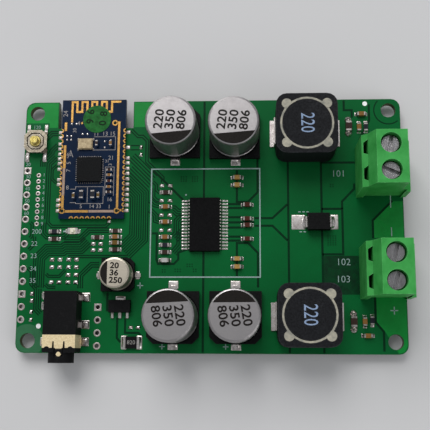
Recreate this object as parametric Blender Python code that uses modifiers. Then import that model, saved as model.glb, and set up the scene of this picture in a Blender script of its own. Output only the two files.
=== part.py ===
"""Audio amplifier board: main board, wireless module, amplifier chip, filter parts, jack and screw terminals.

Board frame: X runs right, Y up the board as it is looked down on, Z out of the component side. The empty
board_frame is the board's lower left corner on that side, and every piece hangs from it.
"""

import math

import bmesh
import bpy
from mathutils import Matrix, Vector

MM = 0.001

# Main board
BOARD_LENGTH = 77.4 * MM
BOARD_WIDTH = 51.7 * MM
BOARD_THICKNESS = 1.6 * MM
BOARD_CORNER = 1.8 * MM
MOUNT_HOLE = 3.0 * MM
MOUNT_INSET = 2.4 * MM
ANTENNA_NOTCH_LEFT = 6.9 * MM
ANTENNA_NOTCH_LENGTH = 15.7 * MM
ANTENNA_NOTCH_DEPTH = 5.7 * MM
SOLDER_SEAT = 0.03 * MM

# Wiring holes along the left edge and beside the jack
HEADER_PITCH = 2.54 * MM
HEADER_HOLE = 0.9 * MM
SIDE_HEADER_AT = (0.85 * MM, 37.02 * MM)
SIDE_HEADER_COUNT = 13
JACK_HEADER_AT = (16.33 * MM, 9.02 * MM)
JACK_HEADER_COUNT = 4
PROBE_PITCH = 1.27 * MM
PROBE_HOLE = 0.5 * MM
PROBE_AT = (3.19 * MM, 36.03 * MM)
PROBE_COUNT = 9

# Chip resistors and capacitors: length, width, height
CHIP_SIZES = {
    "resistor": (1.6 * MM, 0.8 * MM, 0.45 * MM),
    "capacitor": (1.6 * MM, 0.8 * MM, 0.8 * MM),
    "power_resistor": (2.0 * MM, 1.25 * MM, 0.6 * MM),
}
CHIP_END = 0.32 * MM
CHIP_END_PROUD = 0.03 * MM
CHIP_ROWS = (
    ("resistor", "X", ((7.05, 24.3), (7.05, 22.75), (15.8, 23.1), (19.5, 24.4), (19.5, 20.6))),
    ("capacitor", "X", ((19.5, 23.15), (19.5, 21.95))),
    ("resistor", "X", ((29.6, 32.3), (29.6, 21.5), (29.6, 20.05))),
    ("capacitor", "X", ((29.6, 29.3), (29.6, 26.2), (29.6, 23.1), (29.6, 18.4))),
    ("capacitor", "X", ((44.1, 35.3), (44.1, 33.75), (44.1, 18.7), (44.1, 17.1))),
    ("capacitor", "X", ((46.15, 29.65), (46.15, 26.8), (46.15, 25.5), (46.15, 22.7))),
    ("capacitor", "X", ((69.45, 48.45), (69.6, 3.6))),
    ("power_resistor", "Y", ((66.9, 45.95), (66.95, 6.35))),
    ("capacitor", "Y", ((68.95, 45.7), (69.05, 6.35))),
    ("resistor", "Y", ((70.35, 45.75), (70.5, 6.55))),
)

# Wireless module on edge contacts
MODULE_AT = (14.52 * MM, 39.32 * MM)
MODULE_LENGTH = 25.0 * MM
MODULE_WIDTH = 13.3 * MM
MODULE_THICKNESS = 1.0 * MM
CONTACT_PITCH = 1.11 * MM
CONTACT_RADIUS = 0.27 * MM
SIDE_CONTACTS = 16
SIDE_CONTACTS_FROM_END = 1.73 * MM
END_CONTACTS = 8
END_CONTACTS_AT = -0.19 * MM
MODULE_VIA_WIDTH = 0.5 * MM
MODULE_VIA_LENGTH = 0.8 * MM
MODULE_VIAS = ((-5.75 * MM, -11.1 * MM), (5.35 * MM, -11.1 * MM), (4.65 * MM, 7.15 * MM))
MODULE_CHIP_AT = (-0.56 * MM, -2.43 * MM)
MODULE_CHIP_SIZE = 5.0 * MM
MODULE_CHIP_HEIGHT = 0.85 * MM
CRYSTAL_AT = (-1.54 * MM, 2.96 * MM)
CRYSTAL_LENGTH = 3.0 * MM
CRYSTAL_WIDTH = 2.3 * MM
CRYSTAL_HEIGHT = 0.7 * MM
STICKER_AT = (0.66 * MM, 8.34 * MM)
STICKER_RADIUS = 2.9 * MM
STICKER_THICKNESS = 0.1 * MM
TINY_CHIP = (1.0 * MM, 0.5 * MM, 0.5 * MM)
TINY_COIL = (1.6 * MM, 0.85 * MM, 0.8 * MM)
MODULE_CHIPS_X = ((3.71, -2.78), (3.71, -3.87), (3.71, -5.15), (3.71, -6.34), (3.71, -7.43))
MODULE_CHIPS_Y = ((0.94, 2.87), (3.86, 2.87), (-3.47, -8.13), (1.58, -8.03))
MODULE_COILS_Y = ((-1.83, -7.92), (0.49, -7.92))

# Amplifier chip
AMPLIFIER_AT = (37.57 * MM, 25.63 * MM)
AMPLIFIER_WIDTH = 6.1 * MM
AMPLIFIER_LENGTH = 11.0 * MM
AMPLIFIER_HEIGHT = 1.1 * MM
AMPLIFIER_LEADS = 16
AMPLIFIER_PITCH = 0.65 * MM
AMPLIFIER_SPAN = 8.1 * MM
LEAD_WIDTH = 0.26 * MM
LEAD_THICKNESS = 0.15 * MM

# Electrolytic capacitors: place, can radius, can top, base side, turn in degrees
LARGE_CAN = (5.0 * MM, 10.5 * MM, 10.3 * MM)
SMALL_CAN = (3.1 * MM, 5.5 * MM, 6.6 * MM)
CAPACITORS = (
    ("filter_capacitor_1", (31.38 * MM, 44.48 * MM), LARGE_CAN, 0),
    ("filter_capacitor_2", (43.6 * MM, 44.3 * MM), LARGE_CAN, 0),
    ("filter_capacitor_3", (31.45 * MM, 7.0 * MM), LARGE_CAN, 180),
    ("filter_capacitor_4", (43.8 * MM, 7.03 * MM), LARGE_CAN, 180),
    ("supply_capacitor", (20.35 * MM, 15.4 * MM), SMALL_CAN, -90),
)
CAN_BASE_FLOOR = 0.45 * MM
CAN_BASE_RISE = 1.25 * MM
CAN_CLEARANCE = 0.12 * MM
CAN_CHAMFER_SHARE = 0.13
CAN_EDGE = 0.45 * MM
CAN_BEAD_DEPTH = 0.22 * MM
CAN_BEAD_HEIGHT = 0.5 * MM
CAN_BEAD_ABOVE_BASE = 0.35 * MM
CAN_LEAD_REACH = 1.15 * MM
CAN_LEAD_THICKNESS = 0.2 * MM
CAN_LEAD_WIDTH = 1.2 * MM

# Shielded output coils
COILS = (("output_coil_1", (57.9 * MM, 44.45 * MM)), ("output_coil_2", (57.9 * MM, 7.25 * MM)))
COIL_SIDE = 12.0 * MM
COIL_CORNER = 2.1 * MM
COIL_HEIGHT = 8.0 * MM
COIL_BORE = 5.3 * MM
COIL_CORE_RADIUS = 4.8 * MM
COIL_WAIST_RADIUS = 2.6 * MM
COIL_FLANGE = 1.3 * MM
COIL_BLOB_RADIUS = 1.05 * MM
COIL_BLOB_AT = 5.55 * MM
COIL_POTTING_DEPTH = 1.0 * MM
COIL_CLEARANCE = 0.06 * MM
COIL_CLIP_WIDTH = 5.5 * MM
COIL_CLIP_THICKNESS = 0.25 * MM
COIL_CLIP_REACH = 1.1 * MM
COIL_CLIP_RISE = 2.4 * MM

# Regulator, diode, current sensing resistor and lamp
REGULATOR_AT = (20.83 * MM, 9.2 * MM)
REGULATOR_BODY = (4.5 * MM, 2.5 * MM, 1.5 * MM)
REGULATOR_PITCH = 1.5 * MM
DIODE_AT = (60.35 * MM, 26.0 * MM)
DIODE_BODY = (4.5 * MM, 3.6 * MM, 2.3 * MM)
SENSE_RESISTOR_AT = (23.25 * MM, 2.1 * MM)
SENSE_RESISTOR_BODY = (3.2 * MM, 2.4 * MM, 0.6 * MM)
SENSE_RESISTOR_END = 0.5 * MM
LAMP_AT = (10.75 * MM, 24.4 * MM)
LAMP_BODY = (2.0 * MM, 1.2 * MM, 0.35 * MM)
LAMP_DOME_RADIUS = 0.55 * MM

# Push button
BUTTON_AT = (2.6 * MM, 42.93 * MM)
BUTTON_SIDE = 4.5 * MM
BUTTON_CORNER = 1.1 * MM
BUTTON_HOUSING_TOP = 1.2 * MM
BUTTON_COVER_THICKNESS = 0.4 * MM
BUTTON_GROOVE_DEPTH = 0.2 * MM
BUTTON_WELL_RADIUS = 1.75 * MM
BUTTON_FLOOR = 0.3 * MM
BUTTON_TRAVEL = 0.25 * MM
PLUNGER_RADIUS = 0.82 * MM
PLUNGER_COLLAR_RADIUS = 1.12 * MM
PLUNGER_COLLAR_RISE = 0.3 * MM
PLUNGER_FLANGE_RADIUS = 1.5 * MM
PLUNGER_FLANGE = 0.3 * MM
PLUNGER_TOP = 3.0 * MM
PLUNGER_CLEARANCE = 0.1 * MM
DOME_RADIUS = 1.55 * MM
DOME_THICKNESS = 0.1 * MM
BUTTON_LEG_AT = 1.83 * MM
BUTTON_LEG_REACH = 3.85 * MM
BUTTON_LEG_WIDTH = 0.6 * MM

# Audio jack
JACK_AT = (9.9 * MM, 0.1 * MM)
JACK_WIDTH = 6.4 * MM
JACK_LENGTH = 11.8 * MM
JACK_HEIGHT = 5.0 * MM
JACK_NOSE_RADIUS = 2.5 * MM
JACK_NOSE_LENGTH = 2.0 * MM
JACK_BORE_RADIUS = 1.8 * MM
JACK_BORE_END = 10.6 * MM
JACK_SHELL_THICKNESS = 0.2 * MM
JACK_SHELL_FROM = 0.85 * MM
JACK_SHELL_LENGTH = 2.55 * MM
JACK_FOOT_REACH = 1.45 * MM
JACK_SHELL_FOOT_WIDTH = 1.0 * MM
JACK_SLIT_AT = 1.05 * MM
JACK_SLIT_WIDTH = 0.28 * MM
JACK_SLIT_LENGTH = 1.25 * MM
JACK_TONGUE_REACH = 0.75 * MM
JACK_TONGUE_DIP = 0.32 * MM
JACK_TONGUE_TIP = 0.5 * MM
JACK_TONGUE_TIP_STEP = 0.06 * MM
JACK_SCALLOP_RADIUS = 0.6 * MM
JACK_SCALLOP_AT = 2.3 * MM
JACK_SLOT_WIDTH = 1.3 * MM
JACK_CONTACT_WIDTH = 1.1 * MM
JACK_CONTACT_THICKNESS = 0.25 * MM
JACK_CONTACTS = (
    ("jack_tip_contact", -1, 11.1 * MM),
    ("jack_switch_contact", -1, 9.1 * MM),
    ("jack_ring_contact", 1, 10.9 * MM),
    ("jack_sleeve_contact", 1, 5.5 * MM),
)

# Screw terminal blocks
TERMINALS = (("speaker_terminal", (72.9 * MM, 36.18 * MM)), ("power_terminal", (73.2 * MM, 15.78 * MM)))
POLE_PITCH = 5.08 * MM
TERMINAL_HEIGHT = 14.0 * MM
TERMINAL_BACK = 4.9 * MM
TERMINAL_FRONT = 4.9 * MM
TERMINAL_TOP_BACK = 2.7 * MM
TERMINAL_TOP_FRONT = 3.1 * MM
TERMINAL_SHOULDER = 9.8 * MM
TERMINAL_SHOULDER_DEPTH = 1.03 * MM
TERMINAL_SHOULDER_RISE = 0.9 * MM
TERMINAL_LIP = 5.7 * MM
TERMINAL_LIP_RISE = 0.6 * MM
TERMINAL_WALL = 0.7 * MM
TERMINAL_WINDOW_BACK = 2.0 * MM
TERMINAL_WINDOW_FRONT = 3.0 * MM
TERMINAL_WINDOW_DEPTH = 5.0 * MM
TERMINAL_WINDOW_WALL = 0.3 * MM
TERMINAL_KEY_AT = 0.2 * MM
TERMINAL_KEY_WIDTH = 7.4 * MM
TERMINAL_KEY_UNDERCUT = 0.45 * MM
TERMINAL_KEY_DEPTH = 0.35 * MM
TERMINAL_KEY_TOP = 6.8 * MM
TERMINAL_KEY_CLEARANCE = 0.05 * MM
SCREW_HEAD_RADIUS = 1.82 * MM
SCREW_HEAD_TOP = 12.8 * MM
SCREW_HEAD_HEIGHT = 1.4 * MM
SCREW_RADIUS = 1.25 * MM
SCREW_SLOT_WIDTH = 0.8 * MM
SCREW_SLOT_DEPTH = 0.9 * MM
SCREW_CLEARANCE = 0.12 * MM
SCREW_SLOT_TURNS = (-12, 67, -13, -14)
CAGE_LENGTH = 3.6 * MM
CAGE_PLATE = 0.7 * MM
CAGE_NUT = 1.1 * MM
CAGE_CLEARANCE = 0.15 * MM
WIRE_SPACE = 3.6 * MM
WIRE_ENTRY_WIDTH = 3.3 * MM
CONTACT_BLADE = 0.7 * MM
CONTACT_BLADE_WIDTH = 1.8 * MM
TERMINAL_PIN_WIDTH = 0.9 * MM
TERMINAL_PIN_PROTRUSION = 1.0 * MM
PIN_HOLE_CLEARANCE = 0.2 * MM

ROUND_SIDES = 32
SMALL_ROUND_SIDES = 16

MATERIALS = {
    "solder_mask": ((0.012, 0.15, 0.04), 0.35, 0.0),
    "module_mask": ((0.008, 0.02, 0.07), 0.35, 0.0),
    "black_plastic": ((0.012, 0.012, 0.013), 0.5, 0.0),
    "chip_black": ((0.02, 0.02, 0.021), 0.55, 0.0),
    "tinned_metal": ((0.72, 0.7, 0.68), 0.3, 1.0),
    "can_metal": ((0.62, 0.6, 0.59), 0.35, 1.0),
    "ferrite": ((0.025, 0.025, 0.027), 0.7, 0.0),
    "copper_wire": ((0.6, 0.25, 0.1), 0.35, 1.0),
    "epoxy": ((0.52, 0.48, 0.36), 0.45, 0.0),
    "terminal_green": ((0.05, 0.36, 0.08), 0.4, 0.0),
    "screw_steel": ((0.5, 0.5, 0.49), 0.35, 1.0),
    "brass": ((0.6, 0.48, 0.2), 0.3, 1.0),
    "jack_shell": ((0.75, 0.62, 0.42), 0.35, 1.0),
    "sticker": ((0.02, 0.22, 0.05), 0.5, 0.0),
    "lamp": ((0.85, 0.83, 0.76), 0.3, 0.0),
}


def new_collection(name):
    collection = bpy.data.collections.new(name)
    bpy.context.scene.collection.children.link(collection)
    return collection


def new_material(name, color, roughness, metallic):
    material = bpy.data.materials.new(name)
    material.use_nodes = True
    shader = material.node_tree.nodes["Principled BSDF"]
    shader.inputs["Base Color"].default_value = (*color, 1.0)
    shader.inputs["Roughness"].default_value = roughness
    shader.inputs["Metallic"].default_value = metallic
    material.diffuse_color = (*color, 1.0)
    return material


def circle(centre, radius, sides, width=None):
    """Points round a circle, or round an oval when a half width is given."""
    across = radius if width is None else width
    angles = [2 * math.pi * i / sides for i in range(sides)]
    return [(centre[0] + across * math.cos(a), centre[1] + radius * math.sin(a)) for a in angles]


def arc(centre, radius, start, end, steps):
    """Points along an arc between two angles in degrees, both ends included."""
    angles = [math.radians(start + (end - start) * i / steps) for i in range(steps + 1)]
    return [(centre[0] + radius * math.cos(a), centre[1] + radius * math.sin(a)) for a in angles]


def rounded_rectangle(length, width, radius, steps=4):
    """Outline of a rectangle centred on the origin, with round corners."""
    x, y = length / 2 - radius, width / 2 - radius
    corners = (((x, y), 0), ((-x, y), 90), ((-x, -y), 180), ((x, -y), 270))
    points = []
    for centre, start in corners:
        points += arc(centre, radius, start, start + 90, steps)
    return points


def chamfered_rectangle(length, width, chamfers):
    """Outline of a rectangle centred on the origin; chamfers are for the +x+y, -x+y, -x-y and +x-y corners."""
    x, y = length / 2, width / 2
    signs = ((1, 1), (-1, 1), (-1, -1), (1, -1))
    points = []
    for (sx, sy), chamfer in zip(signs, chamfers):
        first = (sx * x, sy * (y - chamfer))
        second = (sx * (x - chamfer), sy * y)
        if not chamfer:
            points.append((sx * x, sy * y))
        elif sx == sy:
            points += [first, second]
        else:
            points += [second, first]
    return points


def add_block(shape, low, high):
    size = Vector(high) - Vector(low)
    middle = (Vector(high) + Vector(low)) / 2
    bmesh.ops.create_cube(shape, size=1.0, matrix=Matrix.Translation(middle) @ Matrix.Diagonal((*size, 1.0)))


def add_rod(shape, centre, radius, low, high, sides=ROUND_SIDES, axis="Z", end_radius=None):
    """A round rod from low to high along Z or Y; centre is in the two other directions."""
    turn = Matrix() if axis == "Z" else Matrix.Rotation(math.radians(-90), 4, "X")
    middle = (low + high) / 2
    place = (*centre, middle) if axis == "Z" else (centre[0], middle, centre[1])
    bmesh.ops.create_cone(
        shape,
        cap_ends=True,
        segments=sides,
        radius1=radius,
        radius2=radius if end_radius is None else end_radius,
        depth=high - low,
        matrix=Matrix.Translation(place) @ turn,
    )


def outline_mesh(outlines, depth):
    """Mesh of flat outlines, filled with the inner ones as holes, and given a depth about z = 0."""
    curve = bpy.data.curves.new("outline", "CURVE")
    curve.dimensions = "2D"
    curve.fill_mode = "BOTH"
    curve.extrude = depth / 2
    for outline in outlines:
        spline = curve.splines.new("POLY")
        spline.points.add(len(outline) - 1)
        for point, (x, y) in zip(spline.points, outline):
            point.co = (x, y, 0, 1)
        spline.use_cyclic_u = True
    holder = bpy.data.objects.new("outline", curve)
    CUTTERS.objects.link(holder)
    graph = bpy.context.evaluated_depsgraph_get()
    mesh = bpy.data.meshes.new_from_object(holder.evaluated_get(graph))
    bpy.data.objects.remove(holder)
    return mesh


def add_prism(shape, outlines, low, high, along="Z", places=((0, 0, 0),)):
    """Flat outlines in the two other directions, in the order X, Y, Z, given their depth along the third."""
    mesh = outline_mesh(outlines, high - low)
    stands = {
        "X": Matrix(((0, 0, 1, 0), (1, 0, 0, 0), (0, 1, 0, 0), (0, 0, 0, 1))),
        "Y": Matrix.Rotation(math.radians(90), 4, "X"),
        "Z": Matrix(),
    }
    middle = (low + high) / 2
    stand = Matrix.Translation([middle if axis == along else 0 for axis in "XYZ"]) @ stands[along]
    for place in places:
        copy = mesh.copy()
        copy.transform(Matrix.Translation(place) @ stand)
        shape.from_mesh(copy)
        bpy.data.meshes.remove(copy)
    bpy.data.meshes.remove(mesh)
    bmesh.ops.remove_doubles(shape, verts=shape.verts, dist=1e-7)


def finish_mesh(name, shape):
    """Turns a shape into a mesh, smooth where a face bends gently into the next and flat elsewhere."""
    bmesh.ops.recalc_face_normals(shape, faces=shape.faces)
    gentle = math.radians(35)
    for face in shape.faces:
        face.smooth = any(gentle / 100 < edge.calc_face_angle(0) < gentle for edge in face.edges)
    for edge in shape.edges:
        edge.smooth = edge.calc_face_angle(0) < gentle
    mesh = bpy.data.meshes.new(name)
    shape.to_mesh(mesh)
    shape.free()
    return mesh


def make_piece(name, mesh, material, at=(0, 0, 0), turn=0):
    piece = bpy.data.objects.new(name, mesh)
    PARTS.objects.link(piece)
    piece.parent = board_frame
    piece.location = at if len(at) == 3 else (*at, 0)
    piece.rotation_euler = (0, 0, math.radians(turn))
    mesh.materials.append(materials[material])
    return piece


def combine(piece, shape, operation, solver):
    """Adds a Boolean that joins a helper solid to the piece, or cuts it away."""
    helper = bpy.data.objects.new(f"{piece.name}_helper_{len(piece.modifiers)}", finish_mesh("helper", shape))
    CUTTERS.objects.link(helper)
    helper.parent = piece
    helper.hide_render = True
    helper.display_type = "WIRE"
    boolean = piece.modifiers.new(operation.lower(), "BOOLEAN")
    boolean.operation = operation
    boolean.solver = solver
    boolean.object = helper


def cut(piece, shape, solver="EXACT"):
    combine(piece, shape, "DIFFERENCE", solver)


def fuse(piece, shape, solver="EXACT"):
    combine(piece, shape, "UNION", solver)


def turned_mesh(name, profile, closed=False):
    """Mesh of a profile in X and Z, listed from its top down its outer side, for a Screw to turn about Z."""
    shape = bmesh.new()
    points = [shape.verts.new((x, 0, z)) for x, z in profile]
    for first, second in zip(points, points[1:]):
        shape.edges.new((first, second))
    if closed:
        shape.edges.new((points[-1], points[0]))
    mesh = bpy.data.meshes.new(name)
    shape.to_mesh(mesh)
    shape.free()
    return mesh


def make_turned(name, profile, material, at, sides=ROUND_SIDES, closed=False, turn=0):
    piece = make_piece(name, turned_mesh(name, profile, closed), material, at, turn)
    screw = piece.modifiers.new("turned", "SCREW")
    screw.axis = "Z"
    screw.steps = sides
    screw.render_steps = sides
    screw.use_merge_vertices = True
    screw.merge_threshold = 1e-6
    screw.use_smooth_shade = True
    return piece


def row_of_holes(start, pitch, count, hole, sides):
    return [circle((start[0], start[1] - i * pitch), hole / 2, sides) for i in range(count)]


def pole_places(at):
    """Plan positions of a terminal block's two poles, upper one first."""
    return [(at[0], at[1] + side * POLE_PITCH / 2) for side in (1, -1)]


def board_outline():
    corner, length, width = BOARD_CORNER, BOARD_LENGTH, BOARD_WIDTH
    notch_right = ANTENNA_NOTCH_LEFT + ANTENNA_NOTCH_LENGTH
    notch_floor = width - ANTENNA_NOTCH_DEPTH
    points = arc((corner, corner), corner, 180, 270, 4)
    points += arc((length - corner, corner), corner, 270, 360, 4)
    points += arc((length - corner, width - corner), corner, 0, 90, 4)
    points += [(notch_right, width), (notch_right, notch_floor)]
    points += [(ANTENNA_NOTCH_LEFT, notch_floor), (ANTENNA_NOTCH_LEFT, width)]
    points += arc((corner, width - corner), corner, 90, 180, 4)
    return points


def mount_hole_places():
    xs = (MOUNT_INSET, BOARD_LENGTH - MOUNT_INSET)
    ys = (MOUNT_INSET, BOARD_WIDTH - MOUNT_INSET)
    return [(x, y) for x in xs for y in ys]


def board_holes():
    holes = [circle(place, MOUNT_HOLE / 2, 24) for place in mount_hole_places()]
    holes += row_of_holes(SIDE_HEADER_AT, HEADER_PITCH, SIDE_HEADER_COUNT, HEADER_HOLE, 12)
    holes += row_of_holes(JACK_HEADER_AT, HEADER_PITCH, JACK_HEADER_COUNT, HEADER_HOLE, 12)
    holes += row_of_holes(PROBE_AT, PROBE_PITCH, PROBE_COUNT, PROBE_HOLE, 8)
    pin_hole = math.hypot(TERMINAL_PIN_WIDTH, CONTACT_BLADE) / 2 + PIN_HOLE_CLEARANCE
    for _, at in TERMINALS:
        holes += [circle((x + pin_offset(), y), pin_hole, 12) for x, y in pole_places(at)]
    return holes


def add_chip(bodies, ends, kind, along, at):
    """One chip part: a body between two end caps that stand a little proud of it."""
    length, width, height = CHIP_SIZES[kind]
    root = -BOARD_THICKNESS / 8

    def block(shape, low, high):
        if along == "Y":
            low, high = (low[1], low[0], low[2]), (high[1], high[0], high[2])
        move = Vector((at[0] * MM, at[1] * MM, 0))
        add_block(shape, Vector(low) + move, Vector(high) + move)

    proud = CHIP_END_PROUD
    body = length / 2 - CHIP_END / 2
    block(bodies, (-body, proud - width / 2, root), (body, width / 2 - proud, height - proud))
    for side in (-1, 1):
        inner, outer = sorted((side * (length / 2 - CHIP_END), side * length / 2))
        block(ends, (inner, -width / 2, root), (outer, width / 2, height))


def make_board():
    shape = bmesh.new()
    add_prism(shape, [board_outline(), *board_holes()], -BOARD_THICKNESS, 0)
    board = make_piece("main_board", finish_mesh("main_board", shape), "solder_mask")
    bodies, ends = bmesh.new(), bmesh.new()
    for kind, along, places in CHIP_ROWS:
        for at in places:
            add_chip(bodies, ends, kind, along, at)
    fuse(board, bodies)
    fuse(board, ends)


def module_outline():
    """The module's edge, with a half round at each contact on both sides and the lower end."""
    x, y, radius = MODULE_WIDTH / 2, MODULE_LENGTH / 2, CONTACT_RADIUS
    lowest = -y + SIDE_CONTACTS_FROM_END
    heights = [lowest + i * CONTACT_PITCH for i in range(SIDE_CONTACTS)]
    spread = CONTACT_PITCH * (END_CONTACTS - 1) / 2
    across = [END_CONTACTS_AT - spread + i * CONTACT_PITCH for i in range(END_CONTACTS)]
    points = [(-x, -y)]
    for place in across:
        points += arc((place, -y), radius, 180, 0, 4)
    points.append((x, -y))
    for height in heights:
        points += arc((x, height), radius, 270, 90, 4)
    points += [(x, y), (-x, y)]
    for height in reversed(heights):
        points += arc((-x, height), radius, 90, -90, 4)
    return points


def make_module():
    low = SOLDER_SEAT
    top = low + MODULE_THICKNESS
    shape = bmesh.new()
    vias = [circle(at, MODULE_VIA_LENGTH / 2, 12, MODULE_VIA_WIDTH / 2) for at in MODULE_VIAS]
    add_prism(shape, [module_outline(), *vias], low, top)
    module = make_piece("module_board", finish_mesh("module_board", shape), "module_mask", MODULE_AT)
    chips = bmesh.new()
    sizes = ((TINY_CHIP, MODULE_CHIPS_X, "X"), (TINY_CHIP, MODULE_CHIPS_Y, "Y"), (TINY_COIL, MODULE_COILS_Y, "Y"))
    for (length, width, height), places, along in sizes:
        half = (length / 2, width / 2) if along == "X" else (width / 2, length / 2)
        for x, y in places:
            corner = (x * MM - half[0], y * MM - half[1], top - MODULE_THICKNESS / 4)
            add_block(chips, corner, (x * MM + half[0], y * MM + half[1], top + height))
    fuse(module, chips)
    make_module_chip(top)
    make_crystal(top)
    shape = bmesh.new()
    seat = top + SOLDER_SEAT
    add_rod(shape, (0, 0), STICKER_RADIUS, seat, seat + STICKER_THICKNESS)
    at = (MODULE_AT[0] + STICKER_AT[0], MODULE_AT[1] + STICKER_AT[1])
    make_piece("inspection_sticker", finish_mesh("inspection_sticker", shape), "sticker", at)


def make_module_chip(top):
    seat = top + SOLDER_SEAT
    half = MODULE_CHIP_SIZE / 2
    shape = bmesh.new()
    add_block(shape, (-half, -half, seat), (half, half, seat + MODULE_CHIP_HEIGHT))
    at = (MODULE_AT[0] + MODULE_CHIP_AT[0], MODULE_AT[1] + MODULE_CHIP_AT[1])
    chip = make_piece("module_chip", finish_mesh("module_chip", shape), "chip_black", at)
    dot = bmesh.new()
    dimple = half - MODULE_CHIP_SIZE / 8
    lid = seat + MODULE_CHIP_HEIGHT
    add_rod(dot, (-dimple, dimple), MODULE_CHIP_SIZE / 20, lid - MODULE_CHIP_HEIGHT / 12, lid + MM, 12)
    cut(chip, dot)


def make_crystal(top):
    """A metal can crystal: a ceramic tray with a slightly smaller lid on it."""
    seat = top + SOLDER_SEAT
    at = (MODULE_AT[0] + CRYSTAL_AT[0], MODULE_AT[1] + CRYSTAL_AT[1])
    tray, lid = bmesh.new(), bmesh.new()
    split = seat + CRYSTAL_HEIGHT * 0.7
    add_prism(tray, [rounded_rectangle(CRYSTAL_LENGTH, CRYSTAL_WIDTH, CRYSTAL_WIDTH / 12, 2)], seat, split)
    inset = CRYSTAL_WIDTH / 8
    outline = rounded_rectangle(CRYSTAL_LENGTH - inset, CRYSTAL_WIDTH - inset, CRYSTAL_WIDTH / 10, 2)
    add_prism(lid, [outline], split - CRYSTAL_HEIGHT / 5, seat + CRYSTAL_HEIGHT)
    crystal = make_piece("module_crystal", finish_mesh("module_crystal", tray), "can_metal", at)
    fuse(crystal, lid)


def gull_wing(root, shoulder, toe, height):
    """Side view of a bent lead from inside its body, over its shoulder, down to its toe."""
    t = LEAD_THICKNESS
    low = SOLDER_SEAT
    knee = shoulder + (toe - shoulder) * 0.3
    top_path = [(root, height + t / 2), (shoulder, height + t / 2), (knee + t / 2, low + t), (toe, low + t)]
    under_path = [(toe, low), (knee - t / 2, low), (shoulder - t, height - t / 2), (root, height - t / 2)]
    return top_path + under_path


def mirrored(outline):
    return [(-x, y) for x, y in reversed(outline)]


def make_amplifier_chip():
    half_x, half_y = AMPLIFIER_WIDTH / 2, AMPLIFIER_LENGTH / 2
    low = SOLDER_SEAT + LEAD_THICKNESS / 2
    shape = bmesh.new()
    add_block(shape, (-half_x, -half_y, low), (half_x, half_y, AMPLIFIER_HEIGHT))
    for vert in shape.verts:
        if vert.co.z > low:
            vert.co.x -= math.copysign(AMPLIFIER_HEIGHT / 10, vert.co.x)
            vert.co.y -= math.copysign(AMPLIFIER_HEIGHT / 10, vert.co.y)
    chip = make_piece("amplifier_chip", finish_mesh("amplifier_chip", shape), "chip_black", AMPLIFIER_AT)
    lead = gull_wing(half_x * 0.9, half_x + LEAD_THICKNESS * 1.5, AMPLIFIER_SPAN / 2, AMPLIFIER_HEIGHT / 2)
    first = -AMPLIFIER_PITCH * (AMPLIFIER_LEADS - 1) / 2
    places = [(0, first + i * AMPLIFIER_PITCH, 0) for i in range(AMPLIFIER_LEADS)]
    leads = bmesh.new()
    for outline in (lead, mirrored(lead)):
        add_prism(leads, [outline], -LEAD_WIDTH / 2, LEAD_WIDTH / 2, "Y", places)
    fuse(chip, leads)
    dot = bmesh.new()
    at = (-half_x * 0.62, half_y * 0.8)
    add_rod(dot, at, AMPLIFIER_WIDTH / 14, AMPLIFIER_HEIGHT - LEAD_THICKNESS / 2, AMPLIFIER_HEIGHT + MM, 16)
    cut(chip, dot)


def make_capacitor(name, at, size, turn):
    """An aluminium can on a moulded base. The base's chamfered side is its positive one, towards +Y."""
    radius, top, side = size
    low = SOLDER_SEAT + CAN_LEAD_THICKNESS
    floor = low + CAN_BASE_FLOOR
    rim = low + CAN_BASE_RISE
    chamfer = side * CAN_CHAMFER_SHARE
    shape = bmesh.new()
    add_prism(shape, [chamfered_rectangle(side, side, (chamfer, chamfer, 0, 0))], low, rim)
    base = make_piece(f"{name}_base", finish_mesh("base", shape), "black_plastic", at, turn)
    pocket = bmesh.new()
    add_rod(pocket, (0, 0), max(radius, side / 2) + CAN_CLEARANCE, floor, rim + MM)
    cut(base, pocket)
    leads = bmesh.new()
    reach = side / 2 + CAN_LEAD_REACH
    half = CAN_LEAD_WIDTH / 2 * side / LARGE_CAN[2]
    for way in (-1, 1):
        near, far = sorted((way * side / 4, way * reach))
        add_block(leads, (-half, near, SOLDER_SEAT), (half, far, low + CAN_LEAD_THICKNESS / 4))
    fuse(base, leads)
    foot = floor + SOLDER_SEAT
    bead = rim + CAN_BEAD_ABOVE_BASE
    waist = radius - CAN_BEAD_DEPTH
    profile = [(0, top), (radius - CAN_EDGE, top)]
    profile += [(radius - CAN_EDGE * 0.3, top - CAN_EDGE * 0.3), (radius, top - CAN_EDGE)]
    profile += [(radius, bead + CAN_BEAD_HEIGHT), (waist, bead + CAN_BEAD_HEIGHT * 0.7)]
    profile += [(waist, bead + CAN_BEAD_HEIGHT * 0.3), (radius, bead)]
    profile += [(radius, foot + CAN_EDGE / 2), (radius - CAN_EDGE / 2, foot), (0, foot)]
    make_turned(f"{name}_can", profile, "can_metal", at, 32, turn=turn)


def blob_places():
    reach = COIL_BLOB_AT / math.sqrt(2)
    return [(x * reach, y * reach) for x in (-1, 1) for y in (-1, 1)]


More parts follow.
